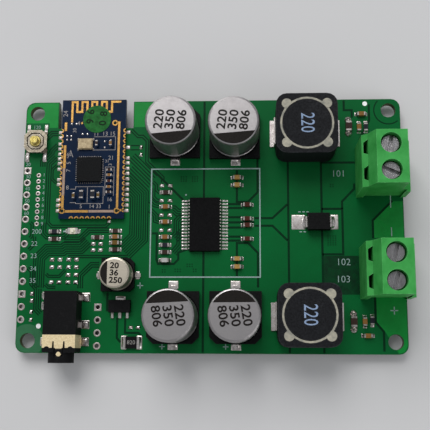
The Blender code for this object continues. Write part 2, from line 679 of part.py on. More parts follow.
def make_coil(name, at):
    """A drum core with its winding inside a square shield, held by potting, on two solder clips."""
    low = SOLDER_SEAT + COIL_CLIP_THICKNESS + SOLDER_SEAT
    top = COIL_HEIGHT
    shape = bmesh.new()
    outline = rounded_rectangle(COIL_SIDE, COIL_SIDE, COIL_CORNER)
    add_prism(shape, [outline], low, top)
    shield = make_piece(f"{name}_shield", finish_mesh("shield", shape), "ferrite", at)
    bore = bmesh.new()
    add_rod(bore, (0, 0), COIL_BORE, low - MM, top + MM)
    cut(shield, bore)
    corners = bmesh.new()
    for place in blob_places():
        add_rod(corners, place, COIL_BLOB_RADIUS, top - COIL_POTTING_DEPTH, top + MM, SMALL_ROUND_SIDES)
    cut(shield, corners)
    flange, waist = COIL_FLANGE, COIL_WAIST_RADIUS
    core = COIL_CORE_RADIUS
    profile = [(0, top), (core, top), (core, top - flange), (waist, top - flange)]
    profile += [(waist, low + flange), (core, low + flange), (core, low), (0, low)]
    make_turned(f"{name}_core", profile, "ferrite", at)
    gap = COIL_CLEARANCE
    inner, outer = waist + gap, core - 3 * gap
    high, deep = top - flange - gap, low + flange + gap
    profile = [(inner, high), (outer, high), (outer, deep), (inner, deep)]
    make_turned(f"{name}_winding", profile, "copper_wire", at, 24, closed=True)
    make_potting(name, at, top)
    for side, word in ((-1, "left"), (1, "right")):
        make_coil_clip(f"{name}_clip_{word}", at, side, low)


def make_potting(name, at, top):
    """The ring of potting between core and shield, with a round blob in each corner of the shield."""
    gap = COIL_CLEARANCE
    low = top - COIL_POTTING_DEPTH + gap
    shape = bmesh.new()
    outlines = [circle((0, 0), COIL_BORE - gap, ROUND_SIDES), circle((0, 0), COIL_CORE_RADIUS + gap, ROUND_SIDES)]
    add_prism(shape, outlines, low, top)
    potting = make_piece(f"{name}_potting", finish_mesh("potting", shape), "epoxy", at)
    blobs = bmesh.new()
    for place in blob_places():
        add_rod(blobs, place, COIL_BLOB_RADIUS - gap, low, top + gap, SMALL_ROUND_SIDES)
    fuse(potting, blobs)
    inner = bmesh.new()
    add_rod(inner, (0, 0), COIL_CORE_RADIUS + gap, low - MM, top + MM)
    cut(potting, inner)


def make_coil_clip(name, at, side, low):
    """A bent strip: a foot under the shield that reaches out on the pad, and a tab up the shield's side."""
    t = COIL_CLIP_THICKNESS
    wall = COIL_SIDE / 2 + COIL_CLEARANCE
    inner, outer = COIL_SIDE / 4, COIL_SIDE / 2 + COIL_CLIP_REACH
    floor = SOLDER_SEAT
    outline = [(inner, floor), (outer, floor), (outer, floor + t), (wall + t, floor + t)]
    outline += [(wall + t, low + COIL_CLIP_RISE), (wall, low + COIL_CLIP_RISE), (wall, floor + t)]
    outline += [(inner, floor + t)]
    shape = bmesh.new()
    half = COIL_CLIP_WIDTH / 2
    add_prism(shape, [outline if side > 0 else mirrored(outline)], -half, half, "Y")
    make_piece(name, finish_mesh(name, shape), "tinned_metal", at)


def tapered_block(length, width, low, high, draft):
    """A moulded body whose sides lean in by the draft from its parting line, half way up."""
    shape = bmesh.new()
    middle = (low + high) / 2
    add_block(shape, (-length / 2, -width / 2, low), (length / 2, width / 2, high))
    sides = [edge for edge in shape.edges if abs(edge.verts[0].co.z - edge.verts[1].co.z) > draft]
    bmesh.ops.subdivide_edges(shape, edges=sides, cuts=1)
    for vert in shape.verts:
        if abs(vert.co.z - middle) > draft:
            vert.co.x -= math.copysign(draft, vert.co.x)
            vert.co.y -= math.copysign(draft, vert.co.y)
    return shape


def make_regulator():
    length, width, height = REGULATOR_BODY
    low = 2 * SOLDER_SEAT
    shape = tapered_block(length, width, low, height, height / 12)
    regulator = make_piece("regulator", finish_mesh("regulator", shape), "chip_black", REGULATOR_AT)
    leads = bmesh.new()
    reach = width / 2 + REGULATOR_PITCH * 0.7
    for place in (-1, 0, 1):
        half = REGULATOR_PITCH * (0.16 if place else 0.19)
        x = place * REGULATOR_PITCH
        add_block(leads, (x - half, -reach, SOLDER_SEAT), (x + half, -width / 4, SOLDER_SEAT + height / 4))
    tab = REGULATOR_PITCH * 0.55
    back = width / 2 + REGULATOR_PITCH * 0.3
    add_block(leads, (-tab, width / 4, SOLDER_SEAT), (tab, back, SOLDER_SEAT + height / 4))
    fuse(regulator, leads)


def make_diode():
    length, width, height = DIODE_BODY
    shape = tapered_block(length, width, height / 16, height, height / 14)
    diode = make_piece("reverse_diode", finish_mesh("reverse_diode", shape), "chip_black", DIODE_AT)
    leads = bmesh.new()
    thick = height / 9
    half = width * 0.3
    middle = height / 2
    outline = [(length * 0.4, middle + thick / 2), (length / 2 + thick, middle + thick / 2)]
    outline += [(length / 2 + thick * 1.6, middle), (length / 2 + thick * 1.6, SOLDER_SEAT)]
    outline += [(length * 0.26, SOLDER_SEAT), (length * 0.26, SOLDER_SEAT + thick)]
    outline += [(length / 2 + thick * 0.6, SOLDER_SEAT + thick), (length / 2 + thick * 0.6, middle - thick / 2)]
    outline += [(length * 0.4, middle - thick / 2)]
    for lead in (outline, mirrored(outline)):
        add_prism(leads, [lead], -half, half, "Y")
    fuse(diode, leads)


def make_sense_resistor():
    length, width, height = SENSE_RESISTOR_BODY
    low = SOLDER_SEAT
    trim = CHIP_END_PROUD
    half = length / 2 - SENSE_RESISTOR_END / 2
    shape = bmesh.new()
    add_block(shape, (-half, trim - width / 2, low + trim), (half, width / 2 - trim, low + height - trim))
    resistor = make_piece("sense_resistor", finish_mesh("sense_resistor", shape), "chip_black", SENSE_RESISTOR_AT)
    ends = bmesh.new()
    for side in (-1, 1):
        inner, outer = sorted((side * (length / 2 - SENSE_RESISTOR_END), side * length / 2))
        add_block(ends, (inner, -width / 2, low), (outer, width / 2, low + height))
    fuse(resistor, ends)


def make_lamp():
    length, width, height = LAMP_BODY
    low = SOLDER_SEAT
    shape = bmesh.new()
    add_block(shape, (-length / 2, -width / 2, low), (length / 2, width / 2, low + height))
    lamp = make_piece("status_lamp", finish_mesh("status_lamp", shape), "lamp", LAMP_AT)
    lens = bmesh.new()
    lip = length / 2 - LAMP_DOME_RADIUS
    add_rod(lens, (0, 0), lip * 1.1, low + height / 2, low + height + LAMP_DOME_RADIUS * 0.7, 16, "Z", lip * 0.7)
    fuse(lamp, lens)


def octagon(side, corner):
    return chamfered_rectangle(side, side, (corner,) * 4)


def make_button():
    low = SOLDER_SEAT
    floor = low + BUTTON_FLOOR
    shape = bmesh.new()
    add_prism(shape, [octagon(BUTTON_SIDE, BUTTON_CORNER * 0.6)], low, BUTTON_HOUSING_TOP)
    housing = make_piece("button_housing", finish_mesh("button_housing", shape), "black_plastic", BUTTON_AT)
    well = bmesh.new()
    add_rod(well, (0, 0), BUTTON_WELL_RADIUS, floor, BUTTON_HOUSING_TOP + MM)
    cut(housing, well)
    legs = bmesh.new()
    lead = gull_wing(BUTTON_SIDE * 0.42, BUTTON_SIDE / 2 + LEAD_THICKNESS * 2, BUTTON_LEG_REACH, floor + low)
    for outline in (lead, mirrored(lead)):
        half = BUTTON_LEG_WIDTH / 2
        places = [(0, way * BUTTON_LEG_AT, 0) for way in (-1, 1)]
        add_prism(legs, [outline], -half, half, "Y", places)
    bmesh.ops.rotate(legs, verts=legs.verts, matrix=Matrix.Rotation(math.radians(90), 3, "Z"))
    fuse(housing, legs)
    make_button_cover()
    make_plunger()
    make_dome(floor)


def button_cover_top():
    return BUTTON_HOUSING_TOP + SOLDER_SEAT + BUTTON_COVER_THICKNESS


def make_button_cover():
    """A pressed plate with an eight sided groove and a hole for the plunger."""
    low = BUTTON_HOUSING_TOP + SOLDER_SEAT
    top = button_cover_top()
    shape = bmesh.new()
    hole = circle((0, 0), PLUNGER_COLLAR_RADIUS + PLUNGER_CLEARANCE, 24)
    add_prism(shape, [octagon(BUTTON_SIDE + 2 * PLUNGER_CLEARANCE, BUTTON_CORNER), hole], low, top)
    cover = make_piece("button_cover", finish_mesh("button_cover", shape), "can_metal", BUTTON_AT)
    groove = bmesh.new()
    outlines = [octagon(BUTTON_SIDE * 0.8, BUTTON_CORNER * 0.85), octagon(BUTTON_SIDE * 0.68, BUTTON_CORNER * 0.75)]
    add_prism(groove, outlines, top - BUTTON_GROOVE_DEPTH, top + MM)
    cut(cover, groove)


def plunger_foot():
    """Underside of the plunger's flange at rest, which hangs just under the cover."""
    return BUTTON_HOUSING_TOP - SOLDER_SEAT - PLUNGER_FLANGE


def make_plunger():
    low = plunger_foot()
    flange = low + PLUNGER_FLANGE
    collar = button_cover_top() + PLUNGER_COLLAR_RISE
    edge = PLUNGER_RADIUS * 0.15
    profile = [(0, PLUNGER_TOP), (PLUNGER_RADIUS - edge, PLUNGER_TOP), (PLUNGER_RADIUS, PLUNGER_TOP - edge)]
    profile += [(PLUNGER_RADIUS, collar), (PLUNGER_COLLAR_RADIUS - edge, collar)]
    profile += [(PLUNGER_COLLAR_RADIUS, collar - edge), (PLUNGER_COLLAR_RADIUS, flange)]
    profile += [(PLUNGER_FLANGE_RADIUS, flange), (PLUNGER_FLANGE_RADIUS, low), (0, low)]
    make_turned("button_plunger", profile, "brass", BUTTON_AT, 24)


def make_dome(floor):
    """A snap spring: a shallow dished disc that stops just under the pressed plunger."""
    crown = plunger_foot() - BUTTON_TRAVEL - 2 * SOLDER_SEAT
    low = floor + SOLDER_SEAT
    t = DOME_THICKNESS
    profile = [(0, crown), (DOME_RADIUS * 0.55, crown - t), (DOME_RADIUS, low + t), (DOME_RADIUS, low)]
    profile += [(DOME_RADIUS * 0.9, low), (DOME_RADIUS * 0.5, crown - 2 * t), (0, crown - t)]
    make_turned("button_dome", profile, "tinned_metal", BUTTON_AT, 16)


def make_jack():
    half = JACK_WIDTH / 2
    axis_height = JACK_HEIGHT / 2
    low = 2 * SOLDER_SEAT
    shape = bmesh.new()
    add_block(shape, (-half, 0, low), (half, JACK_LENGTH, JACK_HEIGHT))
    body = make_piece("jack_body", finish_mesh("jack_body", shape), "black_plastic", JACK_AT)
    nose = bmesh.new()
    add_rod(nose, (0, axis_height), JACK_NOSE_RADIUS, -JACK_NOSE_LENGTH, JACK_SHELL_FROM, ROUND_SIDES, "Y")
    fuse(body, nose)
    bore = bmesh.new()
    add_rod(bore, (0, axis_height), JACK_BORE_RADIUS, -JACK_NOSE_LENGTH - MM, JACK_BORE_END, 24, "Y")
    cut(body, bore)
    relief = bmesh.new()
    deep = JACK_SHELL_THICKNESS + SOLDER_SEAT
    near, far = JACK_SHELL_FROM, JACK_SHELL_FROM + JACK_SHELL_LENGTH
    add_block(relief, (-half - MM, near, JACK_HEIGHT - deep), (half + MM, far, JACK_HEIGHT + MM))
    for side in (-1, 1):
        inner, outer = sorted((side * (half - deep), side * (half + MM)))
        add_block(relief, (inner, near, low - MM), (outer, far, JACK_HEIGHT - deep / 2))
    cut_each(body, relief)
    slots = bmesh.new()
    for _, side, place in JACK_CONTACTS:
        inner, outer = sorted((side * JACK_BORE_RADIUS * 0.6, side * (half + MM)))
        y = place - JACK_AT[1]
        ceiling = axis_height + JACK_CONTACT_THICKNESS * 2
        add_block(slots, (inner, y - JACK_SLOT_WIDTH / 2, low - MM), (outer, y + JACK_SLOT_WIDTH / 2, ceiling))
    cut(body, slots)
    trough = bmesh.new()
    side = JACK_SLIT_AT - JACK_SLIT_WIDTH / 2
    floor = tongue_top() - JACK_SHELL_THICKNESS - SOLDER_SEAT
    front = -JACK_TONGUE_REACH - SOLDER_SEAT
    add_block(trough, (-side, front, floor), (side, JACK_SHELL_FROM + JACK_SLIT_LENGTH, JACK_HEIGHT + MM))
    cut(body, trough)
    make_jack_shell()
    for name, side, place in JACK_CONTACTS:
        make_jack_contact(name, side, place - JACK_AT[1])


def cut_each(piece, shape):
    """Cuts with blocks that cross each other, so the solver is told to sort them out first."""
    cut(piece, shape)
    piece.modifiers[-1].use_self = True


def tongue_top():
    """Upper face of the shell's tongue where it dips into its trough."""
    return JACK_HEIGHT - JACK_TONGUE_DIP


def make_jack_shell():
    """A plated strip folded over the jack, with a foot on each side and a tongue bent into the nose."""
    t = JACK_SHELL_THICKNESS
    half = JACK_WIDTH / 2
    reach = half + JACK_FOOT_REACH
    floor, roof = SOLDER_SEAT, JACK_HEIGHT
    right = [(half, roof), (half, floor + t), (reach, floor + t), (reach, floor), (half - t, floor)]
    right += [(half - t, roof - t)]
    outline = right + mirrored(right)
    shape = bmesh.new()
    near, far = JACK_SHELL_FROM + SOLDER_SEAT, JACK_SHELL_FROM + JACK_SHELL_LENGTH - SOLDER_SEAT
    add_prism(shape, [outline], near, far, "Y")
    shell = make_piece("jack_shell", finish_mesh("jack_shell", shape), "jack_shell", JACK_AT)
    add_jack_tongue(shell, near)
    slits = bmesh.new()
    wide, apex = JACK_SLIT_WIDTH, near + JACK_SLIT_LENGTH
    slit = [(JACK_SLIT_AT - wide, near - MM), (JACK_SLIT_AT + wide, near - MM)]
    slit += [(JACK_SLIT_AT + wide / 2, apex), (JACK_SLIT_AT - wide / 2, apex)]
    for outline in (slit, mirrored(slit)):
        add_prism(slits, [outline], roof - 2 * t, roof + MM)
    cut(shell, slits)
    bites = bmesh.new()
    for side in (-1, 1):
        at = (side * JACK_SCALLOP_AT, near - JACK_SCALLOP_RADIUS / 2)
        add_rod(bites, at, JACK_SCALLOP_RADIUS, roof - 2 * t, roof + MM, SMALL_ROUND_SIDES)
        inner, outer = sorted((side * (half + t / 4), side * (reach + MM)))
        middle, foot = (near + far) / 2, JACK_SHELL_FOOT_WIDTH / 2
        add_block(bites, (inner, near - MM, floor - MM), (outer, middle - foot, floor + 4 * t))
        add_block(bites, (inner, middle + foot, floor - MM), (outer, far + MM, floor + 4 * t))
    cut(shell, bites)


def add_jack_tongue(shell, near):
    """The tongue between the slits: it dips below the shell's top and ends in a round tip."""
    t = JACK_SHELL_THICKNESS
    roof, dip = JACK_HEIGHT, tongue_top()
    side = JACK_SLIT_AT - 1.5 * JACK_SLIT_WIDTH
    end = JACK_TONGUE_TIP - JACK_TONGUE_REACH
    path = [(near + 2 * t, roof), (near - t / 2, roof), (near - 1.5 * t, dip), (end, dip)]
    path += [(end, dip - t), (near - 2.2 * t, dip - t), (near - 1.2 * t, roof - t), (near + 2 * t, roof - t)]
    tongue, tip = bmesh.new(), bmesh.new()
    add_prism(tongue, [path], -side, side, "X")
    fuse(shell, tongue, "MANIFOLD")
    low = dip - t + JACK_TONGUE_TIP_STEP
    add_rod(tip, (0, end), JACK_TONGUE_TIP, low, dip + t / 2, SMALL_ROUND_SIDES)
    fuse(shell, tip, "MANIFOLD")


def make_jack_contact(name, side, y):
    """A strip from its foot on the pad, in through the body's slot and up to a bend beside the bore."""
    t = JACK_CONTACT_THICKNESS
    half, low = JACK_WIDTH / 2, SOLDER_SEAT
    reach = half + JACK_FOOT_REACH
    wall = half - t * 2
    bend = JACK_BORE_RADIUS
    height = JACK_HEIGHT / 2
    outer = [(reach, low), (reach, low + t), (wall + t, low + t), (wall + t, height - t), (bend, height + t)]
    inner = [(bend, height), (wall, height - t * 2), (wall, low)]
    outline = outer + inner
    shape = bmesh.new()
    wide = JACK_CONTACT_WIDTH / 2
    add_prism(shape, [outline if side > 0 else mirrored(outline)], y - wide, y + wide, "Y")
    make_piece(name, finish_mesh(name, shape), "tinned_metal", JACK_AT)


def cage_cavity():
    """Half sizes of a pole's cavity in plan, from the pitch and the wall between poles."""
    return CAGE_LENGTH / 2 + CAGE_CLEARANCE, POLE_PITCH / 2 - TERMINAL_WALL


def cage_floor():
    """Underside of the cage when it is all the way down."""
    return 2 * TERMINAL_WALL


def blade_underside():
    return cage_floor() + CAGE_PLATE + WIRE_SPACE


def pin_offset():
    """The solder pin stands behind the cage, at the block's back wall."""
    return -(cage_cavity()[0] + CONTACT_BLADE)


def screw_tip():
    return blade_underside() + CONTACT_BLADE + 2 * CAGE_CLEARANCE


def head_seat():
    return SCREW_HEAD_TOP - SCREW_HEAD_HEIGHT


def terminal_profile():
    back, front = -TERMINAL_BACK, TERMINAL_FRONT
    points = [(back, SOLDER_SEAT), (back, TERMINAL_SHOULDER)]
    points += [(back + TERMINAL_SHOULDER_DEPTH, TERMINAL_SHOULDER + TERMINAL_SHOULDER_RISE)]
    points += [(-TERMINAL_TOP_BACK, TERMINAL_HEIGHT), (TERMINAL_TOP_FRONT, TERMINAL_HEIGHT)]
    points += [(TERMINAL_TOP_FRONT, TERMINAL_LIP + TERMINAL_LIP_RISE)]
    points += [(front, TERMINAL_LIP), (front, SOLDER_SEAT)]
    return points


def dovetail(face, depth, slack):
    """Outline of a terminal's end key, widening inwards from the end face by its undercut."""
    mouth = TERMINAL_KEY_WIDTH / 2 - slack
    inner = mouth + TERMINAL_KEY_UNDERCUT
    at = TERMINAL_KEY_AT
    over = math.copysign(TERMINAL_WALL / 2, -depth)
    near, far = face + over, face + depth
    outline = [(at - mouth, near), (at + mouth, near), (at + mouth, face), (at + inner, far)]
    return outline + [(at - inner, far), (at - mouth, face)]


def make_terminal(name, at):
    """A two pole housing with a dovetail groove in its near end and a key to fit one on its far end."""
    half = POLE_PITCH
    shape = bmesh.new()
    add_prism(shape, [terminal_profile()], -half, half, "Y")
    housing = make_piece(f"{name}_housing", finish_mesh("housing", shape), "terminal_green", at)
    key = bmesh.new()
    depth = TERMINAL_KEY_DEPTH - TERMINAL_KEY_CLEARANCE
    outline = dovetail(half, depth, TERMINAL_KEY_CLEARANCE)
    add_prism(key, [outline], SOLDER_SEAT, TERMINAL_KEY_TOP - TERMINAL_KEY_CLEARANCE)
    fuse(housing, key)
    groove = bmesh.new()
    add_prism(groove, [dovetail(-half, TERMINAL_KEY_DEPTH, 0)], -MM, TERMINAL_KEY_TOP)
    cut(housing, groove)
    cut_terminal_poles(housing, [y - at[1] for _, y in pole_places(at)])


def cut_terminal_poles(housing, poles):
    deep, wide = cage_cavity()
    seat = head_seat() - CAGE_CLEARANCE
    well = SCREW_HEAD_RADIUS + SCREW_CLEARANCE
    roof = seat - TERMINAL_WALL
    shapes = {word: bmesh.new() for word in ("wells", "necks", "cavities", "entries", "slots", "windows")}
    blade_high = blade_underside() + CONTACT_BLADE + CAGE_CLEARANCE
    back = pin_offset() - CONTACT_BLADE / 2 - CAGE_CLEARANCE
    blade_half = CONTACT_BLADE_WIDTH / 2 + CAGE_CLEARANCE
    entry_half = WIRE_ENTRY_WIDTH / 2
    floor = cage_floor() - CAGE_CLEARANCE
    window_top = TERMINAL_SHOULDER + TERMINAL_SHOULDER_RISE + TERMINAL_WALL
    for y in poles:
        add_rod(shapes["wells"], (0, y), well, seat, TERMINAL_HEIGHT + MM, 24)
        add_rod(shapes["necks"], (0, y), SCREW_RADIUS + 2 * SCREW_CLEARANCE, roof - MM, seat + MM / 10, 16)
        add_block(shapes["cavities"], (-deep, y - wide, floor), (deep, y + wide, roof))
        low, high = cage_floor() + CAGE_PLATE * 0.6, blade_underside() - CAGE_PLATE * 0.2
        add_block(shapes["entries"], (deep - MM / 2, y - entry_half, low), (TERMINAL_FRONT + MM, y + entry_half, high))
        add_block(shapes["slots"], (back, y - blade_half, -MM), (0, y + blade_half, blade_high))
        add_prism(shapes["windows"], [window_outline(y)], TERMINAL_SHOULDER - TERMINAL_WINDOW_DEPTH, window_top)
    for shape in shapes.values():
        cut(housing, shape)


def window_outline(y):
    """A test window in the shoulder, narrow at the back wall and wide at the foot of the slope."""
    back = -TERMINAL_BACK + TERMINAL_WINDOW_WALL
    front = -TERMINAL_BACK + TERMINAL_SHOULDER_DEPTH + TERMINAL_WINDOW_WALL / 4
    narrow, wide = TERMINAL_WINDOW_BACK / 2, TERMINAL_WINDOW_FRONT / 2
    return [(back, y - narrow), (front, y - wide), (front, y + wide), (back, y + narrow)]


def make_terminal_screw(name, at, turn):
    head, radius = SCREW_HEAD_RADIUS, SCREW_RADIUS
    top, seat, tip = SCREW_HEAD_TOP, head_seat(), screw_tip()
    edge = SCREW_SLOT_WIDTH / 4
    profile = [(0, top), (head - edge, top), (head, top - edge), (head, seat), (radius, seat)]
    profile += [(radius, tip + edge * 2), (radius - edge * 2, tip), (0, tip)]
    screw = make_turned(name, profile, "screw_steel", at, 20, turn=turn)
    slot = bmesh.new()
    half = SCREW_SLOT_WIDTH / 2
    add_block(slot, (-half, -head - MM, top - SCREW_SLOT_DEPTH), (half, head + MM, top + MM))
    cut(screw, slot)


def make_cage(name, at):
    """A lifting clamp: a box of strip with a thick threaded top, which the screw draws up under the blade."""
    half_x = CAGE_LENGTH / 2
    half_y = cage_cavity()[1] - CAGE_CLEARANCE
    floor = cage_floor()
    nut_low = screw_tip() + CAGE_CLEARANCE
    top = nut_low + CAGE_NUT
    shape = bmesh.new()
    add_block(shape, (-half_x, -half_y, floor), (half_x, half_y, top))
    cage = make_piece(name, finish_mesh(name, shape), "tinned_metal", at)
    inside = bmesh.new()
    wall = CAGE_PLATE * 0.6
    add_block(inside, (-half_x - MM, wall - half_y, floor + CAGE_PLATE), (half_x + MM, half_y - wall, nut_low))
    cut(cage, inside)
    thread = bmesh.new()
    add_rod(thread, (0, 0), SCREW_RADIUS + SCREW_CLEARANCE, nut_low - MM / 4, top + MM, 20)
    cut(cage, thread)


def make_terminal_contact(name, at):
    """The contact blade inside the cage, its leg behind it and the solder pin through the board."""
    t = CONTACT_BLADE
    x = pin_offset()
    low, high = blade_underside(), blade_underside() + t
    tip = -BOARD_THICKNESS - TERMINAL_PIN_PROTRUSION
    end = CAGE_LENGTH / 2
    blade = [(x + t / 2, low), (end, low), (end, high), (x - t / 2, high), (x - t / 2, SOLDER_SEAT * 2)]
    blade += [(x + t / 2, SOLDER_SEAT * 2)]
    shape = bmesh.new()
    half = CONTACT_BLADE_WIDTH / 2
    add_prism(shape, [blade], -half, half, "Y")
    contact = make_piece(name, finish_mesh(name, shape), "tinned_metal", at)
    pin = bmesh.new()
    wide = TERMINAL_PIN_WIDTH / 2
    add_block(pin, (x - t * 0.4, -wide, tip), (x + t * 0.4, wide, SOLDER_SEAT + t))
    fuse(contact, pin)


def make_terminals():
    turns = iter(SCREW_SLOT_TURNS)
    for name, at in TERMINALS:
        make_terminal(name, at)
        for number, place in enumerate(pole_places(at), 1):
            make_terminal_screw(f"{name}_screw_{number}", place, next(turns))
            make_cage(f"{name}_cage_{number}", place)
            make_terminal_contact(f"{name}_contact_{number}", place)


def place_board_frame():
    """Moves the whole board so that the origin is under the middle of its outside, at the solder pins' tips."""
    left, right = 0, max(BOARD_LENGTH, max(at[0] for _, at in TERMINALS) + TERMINAL_FRONT)
    near = min(0, JACK_AT[1] - JACK_NOSE_LENGTH)
    far = max(BOARD_WIDTH, MODULE_AT[1] + MODULE_LENGTH / 2)
    up = BOARD_THICKNESS + TERMINAL_PIN_PROTRUSION
    board_frame.location = (-(left + right) / 2, -(near + far) / 2, up)


for old in list(bpy.data.objects):
    bpy.data.objects.remove(old)
PARTS = new_collection("audio_amplifier_board")
CUTTERS = new_collection("cutters")
materials = {name: new_material(name, *look) for name, look in MATERIALS.items()}
board_frame = bpy.data.objects.new("board_frame", None)
PARTS.objects.link(board_frame)
make_board()
make_module()
make_amplifier_chip()
for capacitor in CAPACITORS:
    make_capacitor(*capacitor)
for coil in COILS:
    make_coil(*coil)
make_regulator()
make_diode()
make_sense_resistor()
make_lamp()
make_button()
make_jack()
make_terminals()
place_board_frame()
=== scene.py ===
"""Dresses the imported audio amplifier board: mask over copper, solder, signs, finishes and a plain studio.

Tables of places are in board millimetres: X right and Y up from the board's lower left corner, Z out of its
component side.
"""

import math

import bmesh
import bpy
from bpy.props import FloatProperty, FloatVectorProperty, IntProperty, PointerProperty, StringProperty
from mathutils import Matrix, Vector


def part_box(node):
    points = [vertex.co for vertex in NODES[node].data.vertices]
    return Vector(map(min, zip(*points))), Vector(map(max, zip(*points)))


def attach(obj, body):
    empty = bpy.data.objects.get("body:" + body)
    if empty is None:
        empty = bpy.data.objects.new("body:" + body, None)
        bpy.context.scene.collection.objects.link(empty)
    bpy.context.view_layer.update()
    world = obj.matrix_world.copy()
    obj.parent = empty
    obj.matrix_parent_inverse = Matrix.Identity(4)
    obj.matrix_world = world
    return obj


bl_info = {
    "name": "Audio amplifier board dressing",
    "version": (1, 0, 0),
    "blender": (4, 5, 0),
    "location": "3D View > Sidebar > Amplifier",
    "description": "Adds copper, solder, signs and finishes to the packed amplifier board",
    "category": "Object",
}

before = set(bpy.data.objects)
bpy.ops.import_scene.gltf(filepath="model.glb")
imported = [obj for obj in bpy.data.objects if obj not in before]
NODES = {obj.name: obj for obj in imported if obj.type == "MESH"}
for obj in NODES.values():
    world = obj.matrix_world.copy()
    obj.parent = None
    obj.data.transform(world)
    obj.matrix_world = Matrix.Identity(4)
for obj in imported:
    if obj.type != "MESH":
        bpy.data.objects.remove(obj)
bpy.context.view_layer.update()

MM = 0.001
BOARD_THICKNESS = 1.6
BOARD_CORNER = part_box("main_board")[0] + Vector((0, 0, BOARD_THICKNESS * MM))
MODULE_TOP = 1.03
STICKER_TOP = 0.12
SINK = 0.02
GENTLE = math.radians(40)
# Font size for digits of height 1
DIGIT_SIZE = 1.38
# Rows of traces stand a hair above each other, so that none share a plane where they cross
ROW_RISE = 0.0008


def grid(columns, lines):
    """Places row by row."""
    return [(x, y) for y in lines for x in columns]


def cross(x, y, reach, width):
    """A plus sign as two open lines."""
    lines = ((x - reach, y), (x + reach, y)), ((x, y - reach), (x, y + reach))
    return [(line, width, False) for line in lines]


def dashes(y, starts):
    """Short lines side by side."""
    return [(((x, y), (x + 0.5, y)), 0.2, False) for x in starts]


def meander(columns, low, high):
    """A line that runs up one column and down the next between two heights."""
    points = []
    for i, x in enumerate(columns):
        points += [(x, high), (x, low)] if i % 2 else [(x, low), (x, high)]
    return points


# Places on the main board

POUR_GAPS = (
    ((37.35, 51.5), (37.35, 0.2)),
    ((44.05, 36.9), (44.05, 30.3), (46.3, 30.3), (48.25, 32.3), (48.25, 39.2)),
    ((44.05, 15.2), (44.05, 21.9), (46.3, 21.9), (48.25, 19.9), (48.25, 13.0)),
    ((47.6, 26.95), (51.2, 26.95), (54.2, 29.75)),
    ((47.6, 25.4), (51.2, 25.4), (54.2, 22.4)),
    ((54.4, 51.5), (54.4, 0.2)),
    ((61.1, 51.5), (61.1, 0.2)),
    ((61.1, 28.8), (65.2, 28.8), (65.2, 19.6), (61.1, 19.6)),
    ((65.2, 28.8), (65.2, 30.3), (67.7, 32.9), (67.7, 34.0)),
    ((61.1, 38.35), (68.0, 38.35)),
    *(((42.2, y), (45.2, y)) for y in (29.85, 29.05, 27.15, 25.05, 23.2, 22.4)),
    ((42.2, 26.1), (47.6, 26.1)),
    ((34.0, 29.9), (31.2, 32.7), (27.0, 36.9)),
    ((34.0, 20.6), (32.3, 20.0), (32.3, 18.6), (31.4, 17.7), (28.2, 17.7), (27.9, 18.6), (27.9, 23.9),
     (26.9, 23.9)),
    ((66.0, 51.5), (66.0, 49.4), (67.6, 49.4), (67.6, 47.8)),
    ((71.1, 50.6), (71.1, 47.2), (69.0, 43.0)),
    ((71.2, 22.8), (71.2, 26.4), (75.2, 30.4)),
    ((71.2, 11.5), (71.2, 6.2), (72.7, 4.4), (72.7, 0.6)),
    ((20.3, 7.0), (20.3, 3.0), (20.9, 2.3), (21.3, 2.3)),
    ((21.9, 6.9), (21.9, 4.0), (24.6, 4.0), (25.4, 3.1)),
    ((18.2, 11.9), (18.2, 8.2)),
)
